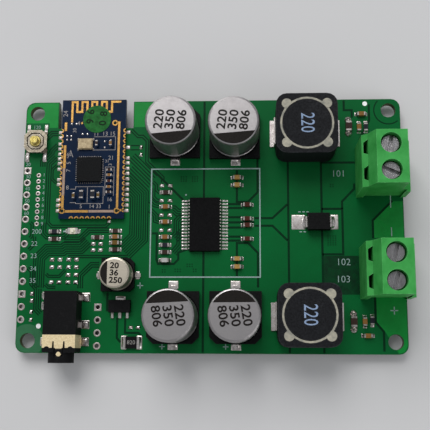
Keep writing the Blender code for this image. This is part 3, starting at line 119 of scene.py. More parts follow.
# Middle of the first trace, step to the next one (to the left where positive), and how many there are
TRACE_BUNDLES = (
    (((22.0, 36.3), (25.75, 32.55), (25.75, 22.4), (22.4, 19.05)), -0.45, 8),
    (((21.9, 37.2), (25.9, 33.2)), 0.57, 3),
    (((22.0, 39.5), (26.7, 34.8)), 0.57, 3),
    (((22.2, 45.6), (23.6, 44.2), (24.6, 44.2), (25.55, 43.25), (25.55, 38.8), (28.9, 35.45), (28.9, 34.4)),
     0.5, 1),
    (((22.1, 41.8), (23.9, 41.8)), 0.9, 1),
    (((26.9, 34.6), (27.6, 33.9), (27.6, 32.9), (28.3, 32.2)), 0.45, 1),
    (((27.1, 33.2), (27.1, 31.4), (27.8, 30.7), (28.3, 30.7)), 0.45, 1),
    (((26.2, 30.6), (27.2, 29.6), (28.2, 29.4)), 0.45, 2),
    (((26.2, 28.6), (27.4, 27.4), (27.4, 26.4), (28.3, 26.1)), 0.45, 2),
    (((31.0, 29.3), (31.5, 29.3), (32.2, 28.6), (33.0, 28.6)), -0.45, 3),
    (((31.0, 23.4), (31.6, 24.0), (31.6, 26.6), (32.4, 27.4), (33.2, 27.4)), -0.45, 4),
    (((33.2, 24.4), (32.6, 24.4), (32.2, 24.0), (32.2, 21.6), (31.0, 20.2)), 0.45, 3),
    (((18.2, 26.2), (17.4, 25.4), (6.3, 25.4), (5.5, 26.2), (5.5, 38.3), (6.9, 39.7)), 0.45, 1),
    (((5.05, 26.9), (5.05, 38.5), (6.6, 40.05)), 0.45, 1),
    (((6.9, 38.2), (5.95, 37.25), (5.95, 35.3), (6.9, 34.4)), 0.4, 1),
    (((6.9, 45.2), (5.5, 45.2), (4.3, 44.0)), 0.45, 2),
    (((6.8, 42.6), (5.5, 41.3), (5.5, 40.9), (3.7, 39.1), (3.7, 37.9)), 0.45, 2),
    (((4.93, 12.9), (4.93, 18.6), (6.0, 19.67), (9.2, 19.67), (9.6, 20.07), (12.8, 20.07), (14.5, 21.77)),
     0.44, 5),
    (((9.0, 22.5), (12.3, 22.5), (14.15, 24.35), (18.1, 24.35)), 0.45, 2),
    (((9.9, 19.2), (22.1, 19.2)), 0.44, 1),
    (((4.9, 26.2), (4.9, 24.1), (5.5, 23.5), (8.8, 23.5), (9.4, 24.1)), -0.45, 2),
    (((4.49, 12.7), (4.49, 8.9), (5.2, 8.2)), -0.44, 3),
    (((12.85, 12.8), (12.85, 15.3), (14.85, 17.3), (16.3, 17.3)), 0.45, 2),
    (((5.6, 15.7), (6.1, 15.2), (8.3, 15.2), (9.5, 16.5)), 0.4, 1),
    (((5.5, 13.6), (6.1, 13.0), (7.6, 13.0)), 0.4, 1),
    (((1.9, 26.2), (2.3, 25.8), (2.3, 23.4), (1.9, 23.0)), 0.45, 1),
    (((1.8, 20.6), (2.9, 21.7), (2.9, 23.3)), 0.45, 1),
    (((1.8, 16.9), (2.6, 16.1), (2.6, 13.6), (3.6, 12.6)), 0.45, 2),
)
CLEAR_AREAS = (
    ((1.9, 51.55), (6.75, 51.55), (6.75, 46.2), (5.0, 46.2), (5.0, 47.2), (0.15, 47.2), (0.15, 49.9),
     (0.6, 51.1)),
    ((22.75, 51.55), (27.2, 51.55), (27.2, 46.2), (22.75, 46.2)),
    ((71.4, 22.9), (71.4, 26.3), (75.4, 30.3), (77.25, 30.3), (77.25, 22.9)),
    ((71.4, 11.4), (71.4, 6.3), (72.9, 4.5), (75.5, 0.15), (76.6, 0.5), (77.25, 1.7), (77.25, 11.4)),
)
# A darker patch of mask beside the power terminal: painted shade of the terminal
SHADED_AREA = ((61.3, 19.3), (69.6, 19.3), (69.6, 11.6), (61.3, 11.6))
HOLE_MARK = ((2.3, 2.3), 3.35)
HOLE_ARC = ((75.0, 49.3), 2.9)
MOUNT_HOLES = grid((2.4, 75.0), (2.4, 49.3))
MOUNT_HOLE_RADIUS = 1.52
# Middle of a field of vias, and how many there are across and up
VIA_FIELDS = (
    (33.2, 35.1, 3, 3), (35.5, 35.1, 3, 3), (34.6, 17.4, 3, 2), (32.2, 16.4, 3, 2), (35.6, 16.4, 2, 2),
    (63.0, 22.4, 4, 5), (63.2, 33.6, 2, 2), (29.4, 16.3, 2, 2),
)
VIA_SPACING = 0.45
BUTTON_AT = (2.6, 42.93)
AMPLIFIER_AT = (37.57, 25.63)
AMPLIFIER_LEADS = 16
AMPLIFIER_PITCH = 0.65
COILS = ((57.9, 44.45), (57.9, 7.25))
# Place of a large can, turn of its dark side and turn of its digits
LARGE_CANS = ((31.38, 44.48, 5, 83), (43.6, 44.3, 4.5, 82), (31.45, 7.0, 183, 279), (43.8, 7.03, 180.5, 279))
SMALL_CAN = (20.35, 15.4)
LARGE_CAN_TOP = 10.5
SMALL_CAN_TOP = 5.5
COIL_TOP = 8.0

SIDE_HEADER = ((0.85, 37.02), 13, 2.54)
JACK_HEADER = ((16.33, 9.02), 4, 2.54)
PROBES = ((3.19, 36.03), 9, 1.27)
SQUARE_HOLES = ((0.85, 37.02), (0.85, 11.62), (16.33, 9.02))

CHIP_SIZES = {
    "resistor": (1.6, 0.8, 0.45),
    "capacitor": (1.6, 0.8, 0.8),
    "power_resistor": (2.0, 1.25, 0.6),
    "tiny": (1.0, 0.5, 0.5),
    "tiny_coil": (1.6, 0.85, 0.8),
}
BOARD_CHIPS = (
    ("resistor", "X", 7.05, 24.3, "slate"), ("resistor", "X", 7.05, 22.75, "umber"),
    ("resistor", "X", 15.8, 23.1, "umber"), ("resistor", "X", 19.5, 24.4, "umber"),
    ("resistor", "X", 19.5, 20.6, "umber"), ("capacitor", "X", 19.5, 23.15, "tan"),
    ("capacitor", "X", 19.5, 21.95, "olive"), ("resistor", "X", 29.6, 32.3, "umber"),
    ("resistor", "X", 29.6, 21.5, "slate"), ("resistor", "X", 29.6, 20.05, "umber"),
    *(("capacitor", "X", 29.6, y, "tan") for y in (29.3, 26.2, 23.1)),
    ("capacitor", "X", 29.6, 18.4, "white"),
    *(("capacitor", "X", 44.1, y, "sand") for y in (35.3, 33.75, 18.7, 17.1)),
    *(("capacitor", "X", 46.15, y, "russet") for y in (29.65, 26.8, 25.5, 22.7)),
    ("capacitor", "X", 69.45, 48.45, "tan"), ("capacitor", "X", 69.6, 3.6, "tan"),
    ("power_resistor", "Y", 66.9, 45.95, "umber"), ("power_resistor", "Y", 66.95, 6.35, "umber"),
    ("capacitor", "Y", 68.95, 45.7, "tan"), ("capacitor", "Y", 69.05, 6.35, "tan"),
    ("resistor", "Y", 70.35, 45.75, "slate"), ("resistor", "Y", 70.5, 6.55, "slate"),
)
# Length and width of an empty pad, and the places of its kind
EMPTY_PADS = (
    ((1.0, 0.8), grid((28.75, 30.45), (33.75, 30.65, 27.65, 24.55))),
    ((1.0, 0.85), grid((6.7, 8.3, 10.1, 11.7), (18.6, 17.05, 14.0)) + grid((10.1, 11.7), (15.5,))),
    ((1.0, 0.85), grid((15.0, 16.5), (21.8, 20.5))),
    ((0.7, 0.9), grid((24.3,), (41.9, 40.3))),
    ((0.95, 0.75), grid((23.0, 24.5), (5.05,))),
    ((0.75, 0.9), grid((2.9,), (11.7, 10.3, 8.1, 6.5))),
    ((0.75, 0.85), grid((18.1,), (26.45,))),
)
FLAT_PADS = (
    (56.4, 26.1, 2.8, 3.0), (63.6, 26.1, 1.5, 3.0),
    *((*at, 1.3, 5.5) for at in grid((51.4, 64.4), (44.45, 7.25))),
    (21.7, 2.1, 1.1, 2.7), (24.8, 2.1, 1.1, 2.7),
    (31.4, 38.7, 2.0, 1.5), (43.8, 38.6, 2.0, 1.5), (31.4, 13.5, 2.0, 1.6), (43.8, 13.5, 2.0, 1.6),
    (31.4, 1.3, 2.0, 1.2), (43.9, 1.25, 2.0, 1.2), (31.4, 50.3, 2.0, 1.3), (43.6, 50.2, 2.0, 1.3),
    (24.15, 15.4, 0.9, 1.6), (16.5, 15.4, 0.9, 1.6), (5.85, 11.4, 1.7, 1.3), (5.85, 9.25, 1.7, 1.7),
    (5.85, 2.2, 1.7, 1.7), (13.9, 11.05, 1.7, 1.7), (13.9, 5.6, 1.7, 1.7), (13.9, 2.2, 1.7, 1.7),
    (19.35, 7.45, 0.45, 1.1), (20.83, 7.45, 0.45, 1.1), (22.3, 7.45, 0.45, 1.1), (20.83, 10.85, 2.0, 0.8),
)
MODULE_LEFT_PADS = (45.1, 44.0, 42.65, 41.6, 40.5, 39.5, 38.5, 37.3, 35.1, 34.1, 30.8, 29.7, 28.6)
MODULE_RIGHT_PADS = (45.1, 41.85, 39.6, 38.55, 37.4, 36.35, 35.2, 34.1, 33.0, 31.9, 30.8, 29.7, 28.6)
FIDUCIALS = ((4.5, 5.25, 0.5), (70.3, 50.75, 0.5))

# Lead ends that solder climbs: x, y, way out, length, width, height
LEAD_SOLDER = (
    (31.38, 39.0, (0, -1), 1.0, 1.7, 0.45), (43.6, 38.9, (0, -1), 1.0, 1.7, 0.45),
    (31.45, 12.6, (0, 1), 1.2, 1.7, 0.3), (43.8, 12.6, (0, 1), 1.2, 1.7, 0.3),
    (31.45, 1.7, (0, -1), 0.8, 1.7, 0.4), (43.8, 1.7, (0, -1), 0.8, 1.7, 0.4),
    (23.9, 15.4, (1, 0), 0.55, 1.1, 0.35), (16.9, 15.4, (-1, 0), 0.55, 1.1, 0.35),
    (21.65, 2.1, (-1, 0), 0.5, 2.5, 0.45), (24.85, 2.1, (1, 0), 0.5, 2.5, 0.45),
    (19.33, 7.2, (0, -1), 0.35, 0.42, 0.3), (20.83, 7.2, (0, -1), 0.35, 0.42, 0.3),
    (22.33, 7.2, (0, -1), 0.35, 0.42, 0.3), (20.83, 10.85, (0, 1), 0.35, 1.7, 0.3),
    (57.95, 26.05, (-1, 0), 0.9, 2.6, 0.75), (62.8, 26.05, (1, 0), 1.0, 2.6, 0.9),
    (9.75, 24.4, (-1, 0), 0.5, 1.0, 0.3), (11.75, 24.4, (1, 0), 0.5, 1.0, 0.3),
    (5.35, 11.4, (-1, 0), 0.4, 1.2, 0.4), (5.35, 9.25, (-1, 0), 0.4, 1.7, 0.4),
    (5.5, 2.15, (-1, 0), 0.5, 1.6, 0.45),
)
# Solder over a flat foot: x, y, length, width, height
LEAD_LUMPS = ((0.66, 39.75, 0.95, 1.9, 0.34), (4.3, 39.75, 0.95, 1.9, 0.34))
JACK_LUMPS = ((13.95, 10.9, 1.5, 1.6, 0.42), (13.95, 5.55, 1.5, 1.5, 0.42), (13.95, 2.15, 1.5, 1.7, 0.42))
SOLDER_CRATERS = ((66.8, 47.3), (66.8, 44.5), (66.9, 7.9), (66.9, 4.8))

# White signs: lines with their width and whether they close, then plain numbers with place and height
SIGN_LINES = (
    (((26.6, 15.05), (48.7, 15.05), (48.7, 37.2), (26.6, 37.2)), 0.25, True),
    (((74.85, 29.0), (74.85, 32.0)), 0.2, False),
    (((74.85, 23.2), (74.85, 25.0)), 0.2, False),
    *cross(74.85, 8.5, 0.75, 0.2),
    *cross(24.7, 13.35, 0.6, 0.17),
    *cross(29.3, 1.35, 0.55, 0.17),
    *cross(41.85, 1.35, 0.55, 0.17),
    (((8.75, 24.35), (9.3, 24.35)), 0.3, False),
    (((33.55, 31.8), (33.85, 31.8)), 0.3, False),
    *dashes(28.2, (56.4, 57.2, 58.0)),
    *dashes(24.15, (56.6, 57.4)),
)
PROBE_NUMBER_LEVELS = (36.1, 34.85, 33.55, 32.3, 31.0, 29.75, 28.45, 27.2, 25.9)
BOARD_NUMBERS = (
    ("101", 64.6, 36.0, 1.4), ("102", 65.2, 18.0, 1.4), ("103", 65.1, 14.6, 1.4),
    ("120", 2.4, 46.3, 0.75), ("20", 0.9, 38.35, 0.75), ("200", 3.3, 24.3, 1.0),
    *((words, 1.0, y, 0.75) for words, y in (("30", 35.75), ("40", 33.2), ("50", 30.65), ("60", 28.1))),
    *((words, 2.9, y, 1.0) for words, y in (("22", 21.8), ("23", 19.3), ("34", 16.7), ("35", 14.3))),
    *((str(i), 4.3, y, 0.75) for i, y in enumerate(PROBE_NUMBER_LEVELS, 1)),
)

# Places on the module, and widths of its strips

MODULE_MIDDLE = 14.52
MODULE_PADS_OUT = 6.62
CONTACT_COLUMNS = ((7.87, -90), (21.17, 90))
FIRST_CONTACT = 28.55
END_CONTACTS_AT = (14.33, 26.82)
MODULE_CHIP_AT = (13.96, 36.89)
ANTENNA_COLUMNS = (9.95, 10.95, 12.0, 13.05, 14.05, 15.05, 16.1, 17.1, 18.2)
ANTENNA = ((9.95, 47.0), *meander(ANTENNA_COLUMNS, 49.25, 51.4)[1:], (20.1, 51.4))
MODULE_GOLD = (
    (ANTENNA, 0.42),
    (((8.7, 47.0), (8.7, 45.2)), 0.5), (((8.7, 42.1), (8.7, 37.3)), 0.5), (((8.6, 31.6), (8.6, 28.9)), 0.5),
    (((9.0, 28.3), (13.9, 28.3)), 0.5), (((19.8, 29.0), (19.8, 46.9), (19.4, 46.9)), 0.45),
    (((20.1, 28.4), (20.9, 28.6)), 0.4), (((8.0, 28.5), (8.3, 28.4)), 0.4),
)
MODULE_DULL = ((((8.65, 37.3), (8.65, 31.6)), 0.5), (((14.0, 28.3), (19.2, 28.3)), 0.5))
MODULE_RINGS = ((8.55, 28.4), (19.72, 28.4), (18.95, 46.85))
MODULE_DOTS = (
    (9.9, 46.7), (10.9, 46.7), (12.25, 44.5), (13.25, 44.5), *grid((9.05, 9.9), (44.1, 43.3)),
    *grid((16.9,), (42.9, 41.6)),
)
MODULE_CHIPS = (
    *(("tiny", "X", 18.05, y, tone) for y, tone in (
        (36.85, "umber"), (35.75, "tan"), (34.5, "russet"), (33.3, "tan"), (32.2, "umber"))),
    ("tiny", "Y", 15.27, 42.5, "umber"), ("tiny", "Y", 18.15, 42.5, "tan"),
    ("tiny", "Y", 10.85, 31.5, "olive"), ("tiny", "Y", 15.92, 31.6, "olive"),
    ("tiny_coil", "Y", 12.53, 31.7, "slate"), ("tiny_coil", "Y", 14.83, 31.7, "slate"),
)
# Plain numbers with place, height and turn
MODULE_NUMBERS = (
    ("11", 15.1, 44.5, 0.875, 0), ("13 15", 17.7, 44.5, 0.875, 0), ("24", 8.6, 48.9, 1.0, 90),
    ("5", 9.6, 38.4, 0.875, 90), ("7", 9.6, 36.8, 0.875, 90), ("21", 18.3, 39.4, 0.875, 0),
    ("3", 18.2, 38.0, 0.75, 90), ("16", 18.2, 30.7, 0.8125, 0), ("5", 12.4, 29.3, 0.8125, 0),
    ("14 33", 15.3, 29.3, 0.8125, 0), ("1", 18.2, 29.2, 0.8125, 0), ("8", 9.5, 33.2, 0.875, 0),
    ("2", 16.4, 34.6, 0.75, 0), ("30", 10.6, 45.3, 0.75, 90), ("62", 9.6, 40.2, 0.75, 0),
    ("4", 11.35, 46.8, 0.875, 0), ("31", 17.5, 38.7, 0.625, 0),
)
MODULE_SIGN_LINES = (
    (((10.1, 30.1), (11.3, 30.1), (11.3, 29.9), (16.9, 29.9), (16.9, 33.4), (11.2, 33.4), (11.2, 32.9),
      (10.1, 32.9)), 0.1),
    (((13.65, 30.1), (13.65, 33.3)), 0.12),
    (((17.2, 31.5), (17.2, 37.5), (19.0, 37.5), (19.0, 31.5)), 0.1),
    (((14.6, 41.1), (19.1, 41.1), (19.1, 43.9), (14.6, 43.9)), 0.1),
    (((9.3, 39.4), (9.9, 41.0), (10.4, 39.6)), 0.12),
)


def shade(digits):
    """A scene colour from the six hex digits of a screen colour."""
    parts = [int(digits[i : i + 2], 16) / 255 for i in (0, 2, 4)]
    return tuple(p / 12.92 if p <= 0.04045 else ((p + 0.055) / 1.055) ** 2.4 for p in parts)


def tint(color, share):
    """A colour with each part times a share, white at most."""
    return [min(c * share, 1) for c in color]


def color_prop(name, digits, description):
    """A colour, with its default as screen digits."""
    return FloatVectorProperty(name=name, description=description, subtype="COLOR", default=shade(digits),
                               min=0, max=1)


def size_prop(name, default, description):
    """A length in millimetres of the board."""
    return FloatProperty(name=name, description=f"{description}, in millimetres", default=default, min=0)


class BoardSurface(bpy.types.PropertyGroup):
    pour: color_prop("Pour", "085F2E", "Mask over the copper pours")
    gap: color_prop("Gap", "052B17", "Mask between two pours or traces")
    clear: color_prop("Clear area", "138A38", "Mask over bare glass cloth")
    core: color_prop("Core", "5C6440", "Cut edge of the glass cloth")
    gap_width: size_prop("Gap width", 0.44, "Width of the gap between two pours")
    trace_gap: size_prop("Trace gap", 0.24, "Width of the gap between two traces")
    mark: color_prop("Hole mark", "356C49", "Thin mask round the lower mounting hole")
    relief: size_prop("Relief", 0.012, "Height of what is drawn on the mask")


class SolderWork(bpy.types.PropertyGroup):
    bright: color_prop("Bright", "E2DCD8", "Solder where it is smooth")
    dull: color_prop("Dull", "A59C98", "Solder where it is grainy")
    wire_ring: size_prop("Wire ring", 0.75, "Radius of the ring round a wiring hole")
    wire_hole: size_prop("Wire hole", 0.45, "Radius of a wiring hole")
    probe_ring: size_prop("Probe ring", 0.5, "Radius of the ring round a probe hole")
    probe_hole: size_prop("Probe hole", 0.25, "Radius of a probe hole")
    plating: size_prop("Plating", 0.05, "Thickness of a hole's plating")
    pad_rise: size_prop("Pad rise", 0.28, "Height of the solder on an empty pad")


class SignInk(bpy.types.PropertyGroup):
    board_ink: color_prop("Board ink", "9DB3B0", "Signs on the main board")
    module_ink: color_prop("Module ink", "A09A97", "Signs on the module")
    rise: size_prop("Rise", 0.045, "Height of the ink")


class ModuleFinish(bpy.types.PropertyGroup):
    mask: color_prop("Mask", "061D38", "Mask of the module")
    gold: color_prop("Gold", "BC904E", "Plated copper of the module")
    dull_gold: color_prop("Dull gold", "A08878", "Copper strips under thin mask")
    strip_rise: size_prop("Strip rise", 0.03, "Height of a plated strip")
    contacts: IntProperty(name="Side contacts", description="Half round contacts on each side", default=16,
                          min=1)
    end_contacts: IntProperty(name="End contacts", description="Half round contacts on the end", default=8,
                              min=1)
    pitch: size_prop("Contact pitch", 1.11, "Distance between two contacts")
    notch: size_prop("Notch", 0.27, "Radius of a contact's half round notch")


class ChipFinish(bpy.types.PropertyGroup):
    tan: color_prop("Tan", "8A6233", "Tan ceramic")
    sand: color_prop("Sand", "B08C4E", "Sand coloured ceramic")
    olive: color_prop("Olive", "6B5326", "Olive brown ceramic")
    umber: color_prop("Umber", "3A2A24", "Dark brown ceramic")
    russet: color_prop("Russet", "4B2418", "Red brown ceramic")
    slate: color_prop("Slate", "25262E", "Slate coloured resistor film")
    white: color_prop("White", "BDBBB8", "Pale ceramic")
    cover: size_prop("Cover", 0.05, "How far the dressed chip stands over the solid")


class CanFinish(bpy.types.PropertyGroup):
    metal: color_prop("Metal", "A19D9D", "Aluminium can")
    warm_metal: color_prop("Warm metal", "C8BFAE", "Small aluminium can")
    ink: color_prop("Ink", "1A1715", "Print on a can")
    print_share: FloatProperty(name="Print share", default=0.51, min=0, max=1,
                               description="Where the dark print starts, as a share of the radius")
    first_row: StringProperty(name="First row", description="Plain number on a large can", default="220")
    second_row: StringProperty(name="Second row", description="Plain number on a large can", default="350")
    third_row: StringProperty(name="Third row", description="Plain number on a large can", default="806")


class StudioSetup(bpy.types.PropertyGroup):
    floor: color_prop("Floor", "CBCACA", "Floor")
    floor_size: FloatProperty(name="Floor size", description="Side of the floor", default=1.6, unit="LENGTH")
    key_power: FloatProperty(name="Key power", description="Power of the large soft lamp", default=13.5,
                             unit="POWER")
    fill_power: FloatProperty(name="Fill power", description="Power of the low side lamp", default=0.8,
                              unit="POWER")
    sky: FloatProperty(name="Sky", description="Strength of the even light from all round", default=0.46,
                       min=0)
    camera_at: FloatVectorProperty(name="Camera place", description="Place of the camera", precision=5,
                                   subtype="TRANSLATION", default=(0.00823, -0.02505, 0.15769))
    lens: FloatProperty(name="Lens", description="Focal length in millimetres on a 36 mm sensor",
                        default=65.32)


SETTINGS = {
    "amp_board": BoardSurface, "amp_solder": SolderWork, "amp_signs": SignInk, "amp_module": ModuleFinish,
    "amp_chips": ChipFinish, "amp_cans": CanFinish, "amp_studio": StudioSetup,
}


# Shapes, in board millimetres

def skin(shape, rings, closed=False):
    """Joins rings of corners one after the other, with a face on both ends unless the rings run round."""
    count = len(rings[0])
    for first, second in zip(rings, rings[1:] + rings[:1] if closed else rings[1:]):
        for i in range(count):
            j = (i + 1) % count
            shape.faces.new((first[i], first[j], second[j], second[i]))
    if not closed:
        shape.faces.new(rings[0][::-1])
        shape.faces.new(rings[-1])


def stack(shape, outline, levels, slant=0.0):
    """A closed solid of one outline at several heights, each drawn to a share of its size."""
    middle = Vector((sum(p[0] for p in outline), sum(p[1] for p in outline))) / len(outline)
    low, high = levels[0][0], levels[-1][0]
    rings = []
    for height, share in levels:
        shear = slant * (height - low) / (high - low)
        offsets = [(Vector(p) - middle) * share for p in outline]
        points = [middle + off + Vector((shear * off.y, 0)) for off in offsets]
        rings.append([shape.verts.new((*p, height)) for p in points])
    skin(shape, rings)


def prism(shape, outline, low, high, draw_in=0.0):
    """A closed slab of an outline between two heights, its top drawn in towards the outline's middle."""
    stack(shape, outline, ((low, 1.0), (high, 1.0 - draw_in)))


def mound(shape, outline, low, high, flat=0.35, steps=4):
    """A bead of solder on an outline: steep at its rim and nearly flat in its middle."""
    turns = [math.pi / 2 * i / steps for i in range(steps + 1)]
    levels = [(low + (high - low) * math.sin(a), 1 - (1 - flat) * (1 - math.cos(a))) for a in turns]
    stack(shape, outline, levels)


def arc(x, y, radius, degrees):
    """Points of a circle at the given degrees."""
    turns = [math.radians(a) for a in degrees]
    return [(x + radius * math.cos(a), y + radius * math.sin(a)) for a in turns]


def box_outline(x, y, length, width, corner=0.0, steps=3):
    """A rectangle round a place, with round corners where a radius is given."""
    half_x, half_y = length / 2 - corner, width / 2 - corner
    points = []
    for sx, sy, start in ((1, 1, 0), (-1, 1, 90), (-1, -1, 180), (1, -1, 270)):
        degrees = [start + 90 * i / steps for i in range(steps + 1 if corner else 1)]
        points += arc(x + sx * half_x, y + sy * half_y, corner, degrees)
    return points


def disc_outline(x, y, radius, sides=24):
    """A circle as a polygon."""
    return arc(x, y, radius, [360 * i / sides for i in range(sides)])


def spun(shape, at, profile, sides=24, start=0.0, sweep=360.0, square_from=None):
    """A closed profile of radius and height turned about a place, a square from square_from out."""
    whole = sweep >= 360
    rings = []
    for i in range(sides if whole else sides + 1):
        angle = math.radians(start + sweep * i / sides)
        c, s = math.cos(angle), math.sin(angle)
        ring = []
        for radius, height in profile:
            reach = radius / max(abs(c), abs(s)) if square_from and radius > square_from else radius
            ring.append(shape.verts.new((at[0] + reach * c, at[1] + reach * s, height)))
        rings.append(ring)
    skin(shape, rings, whole)


def beside(path, distance, closed=False):
    """The path moved sideways by a distance, to its left, with its corners mitred."""
    points = [Vector(p) for p in path]
    count = len(points)
    moved = []
    for i, point in enumerate(points):
        before = points[i - 1] if i or closed else None
        after = points[(i + 1) % count] if i < count - 1 or closed else None
        sides = []
        for first, second in ((before, point), (point, after)):
            if first is not None and second is not None:
                way = (second - first).normalized()
                sides.append(Vector((-way.y, way.x)))
        normal = sum(sides, Vector((0, 0))).normalized()
        moved.append(point + normal * distance / max(normal.dot(sides[0]), 0.3))
    return moved


def ribbon(shape, path, width, low, high, closed=False):
    """A flat strip that follows a path."""
    left, right = beside(path, width / 2, closed), beside(path, -width / 2, closed)
    rings = []
    for a, b in zip(left, right):
        corners = ((*a, low), (*b, low), (*b, high), (*a, high))
        rings.append([shape.verts.new(p) for p in corners])
    skin(shape, rings, closed)


def climb(shape, x, y, way, length, width, high, low=0.0):
    """Solder that climbs a lead's end: high at the lead, hollowed, and thin at the far end of its pad."""
    out = Vector(way).normalized()
    across = Vector((-out.y, out.x))
    rings = []
    for i in range(6):
        share = i / 5
        peak = low + 0.05 + (high - 0.05) * (1 - share) ** 2
        half = width / 2 * (1 - 0.2 * share**3)
        foot = Vector((x, y)) + out * length * share
        ring = []
        for side, rise in ((-1, 0), (-0.85, 0.6), (-0.45, 0.93), (0, 1), (0.45, 0.93), (0.85, 0.6), (1, 0)):
            place = foot + across * half * side
            ring.append(shape.verts.new((*place, low - SINK + (peak - low + SINK) * rise)))
        rings.append(ring)
    skin(shape, rings)


def add_object(name, data):
    """An object in the scene."""
    made = bpy.data.objects.new(name, data)
    bpy.context.scene.collection.objects.link(made)
    return made


def board_mesh(name, shape):
    """A mesh from a shape in board millimetres, moved to the board's place."""
    shape.transform(Matrix.Translation(BOARD_CORNER) @ Matrix.Scale(MM, 4))
    mesh = bpy.data.meshes.new(name)
    shape.to_mesh(mesh)
    shape.free()
    return mesh


def add_number(shape, words, x, y, height, turn, low, high, stretch=1.0, heavy=0.0):
    """Plain digits as thin solid letters, centred on a place."""
    curve = bpy.data.curves.new("digits", "FONT")
    curve.body = words
    curve.align_x = "CENTER"
    curve.align_y = "CENTER"
    curve.size = height * DIGIT_SIZE
    curve.extrude = (high - low) / 2
    curve.offset = heavy
    curve.resolution_u = 3
    carrier = add_object("digits", curve)
    bpy.context.view_layer.update()
    mesh = bpy.data.meshes.new_from_object(carrier.evaluated_get(bpy.context.evaluated_depsgraph_get()))
    place = Matrix.Translation((x, y, (low + high) / 2)) @ Matrix.Rotation(math.radians(turn), 4, "Z")
    mesh.transform(place @ Matrix.Diagonal((stretch, 1, 1, 1)))
    shape.from_mesh(mesh)
    bpy.data.objects.remove(carrier)
    bpy.data.curves.remove(curve)
    bpy.data.meshes.remove(mesh)


def new_piece(name, shape, material, body="board"):
    """Turns a shape in board millimetres into a piece that rides on a body."""
    bmesh.ops.remove_doubles(shape, verts=shape.verts, dist=1e-5)
    bmesh.ops.recalc_face_normals(shape, faces=shape.faces)
    for face in shape.faces:
        face.smooth = True
    for edge in shape.edges:
        edge.smooth = edge.calc_face_angle(0) < GENTLE
    mesh = board_mesh(name, shape)
    if not mesh.polygons:
        raise ValueError(f"{name} has no faces")
    mesh.materials.append(material)
    piece = add_object(name, mesh)
    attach(piece, body)
    return piece


# Effects that several finishes share

def new_group(name, inputs, outputs):
    """A node group with named inputs and outputs."""
    group = bpy.data.node_groups.new(name, "ShaderNodeTree")
    for label, kind, value in inputs:
        socket = group.interface.new_socket(label, in_out="INPUT", socket_type=f"NodeSocket{kind}")
        socket.default_value = value
    for label, kind in outputs:
        group.interface.new_socket(label, in_out="OUTPUT", socket_type=f"NodeSocket{kind}")
    return group, group.nodes.new("NodeGroupInput").outputs, group.nodes.new("NodeGroupOutput").inputs


def node(tree, kind, values=(), **settings):
    """Adds a node, sets its options, and sets or links its inputs by number."""
    made = tree.nodes.new(f"ShaderNode{kind}")
    for key, value in settings.items():
        setattr(made, key, value)
    for key, value in dict(values).items():
        if isinstance(value, bpy.types.NodeSocket):
            tree.links.new(value, made.inputs[key])
        else:
            made.inputs[key].default_value = value
    return made


def own_place(tree):
    """A point's place in the object's own frame."""
    return node(tree, "TexCoord").outputs["Object"]


def upward(tree):
    """How far a face looks up, from -1 to 1."""
    return node(tree, "SeparateXYZ", {0: node(tree, "NewGeometry").outputs["Normal"]}).outputs[2]


def reckon(tree, operation, *values, kind="Math"):
    """The result of one sum on numbers, vectors or sockets."""
    return node(tree, kind, dict(enumerate(values)), operation=operation).outputs[0]


def noise(tree, place, scale, detail, roughness=0.5):
    """Noise over a place."""
    values = {"Vector": place, "Scale": scale, "Detail": detail, "Roughness": roughness}
    return node(tree, "TexNoise", values).outputs[0]


def spread(tree, value, low, high, most=1.0):
    """A value drawn out between two ends to run from nothing to the most."""
    return node(tree, "MapRange", {0: value, 1: low, 2: high, 4: most}).outputs[0]


def mottle_group():
    """Two colours that drift into each other over a grain size, which a stretch can draw out."""
    white, black = (0.8, 0.8, 0.8, 1), (0.2, 0.2, 0.2, 1)
    inputs = (("Dark", "Color", black), ("Light", "Color", white), ("Grain", "Float", 1.0),
              ("Stretch", "Vector", (1, 1, 1)))
    tree, given, result = new_group("surface_mottle", inputs, (("Color", "Color"), ("Mask", "Float")))
    drawn = reckon(tree, "MULTIPLY", own_place(tree), given["Stretch"], kind="VectorMath")
    scale = reckon(tree, "DIVIDE", 1 / MM, given["Grain"])
    mask = spread(tree, noise(tree, drawn, scale, 4.0, 0.62), 0.34, 0.66)
    tree.links.new(blend(tree, mask, given["Dark"], given["Light"]), result["Color"])
    tree.links.new(mask, result["Mask"])
    return tree


def edge_group():
    """A mask of edges, for wear from handling and for painted highlights: where a rounded normal leaves the
    face's own.
    """
    tree, given, result = new_group("edge_rub", (("Width", "Float", 0.1),), (("Mask", "Float"),))
    width = reckon(tree, "MULTIPLY", given["Width"], MM)
    rounded = node(tree, "Bevel", {"Radius": width}, samples=4).outputs[0]
    own = node(tree, "NewGeometry").outputs["Normal"]
    agree = node(tree, "VectorMath", {0: rounded, 1: own}, operation="DOT_PRODUCT").outputs["Value"]
    edge = spread(tree, agree, 0.995, 0.85)
    worn = spread(tree, noise(tree, own_place(tree), 900.0, 3.0), 0.35, 0.6)
    tree.links.new(reckon(tree, "MULTIPLY", edge, worn), result["Mask"])
    return tree


def stroke_group():
    """Fine parallel tool marks, at a turn about Z and a spacing."""
    inputs = (("Turn", "Float", 0.0), ("Spacing", "Float", 0.1))
    tree, given, result = new_group("tool_strokes", inputs, (("Mask", "Float"),))
    about_z = {"Vector": own_place(tree), "Angle": given["Turn"]}
    turned = node(tree, "VectorRotate", about_z, rotation_type="Z_AXIS").outputs[0]
    drawn = reckon(tree, "MULTIPLY", turned, (1, 0.04, 1), kind="VectorMath")
    scale = reckon(tree, "DIVIDE", 1 / MM, given["Spacing"])
    mask = spread(tree, noise(tree, drawn, scale, 2.0, 0.7), 0.36, 0.64)
    tree.links.new(mask, result["Mask"])
    return tree


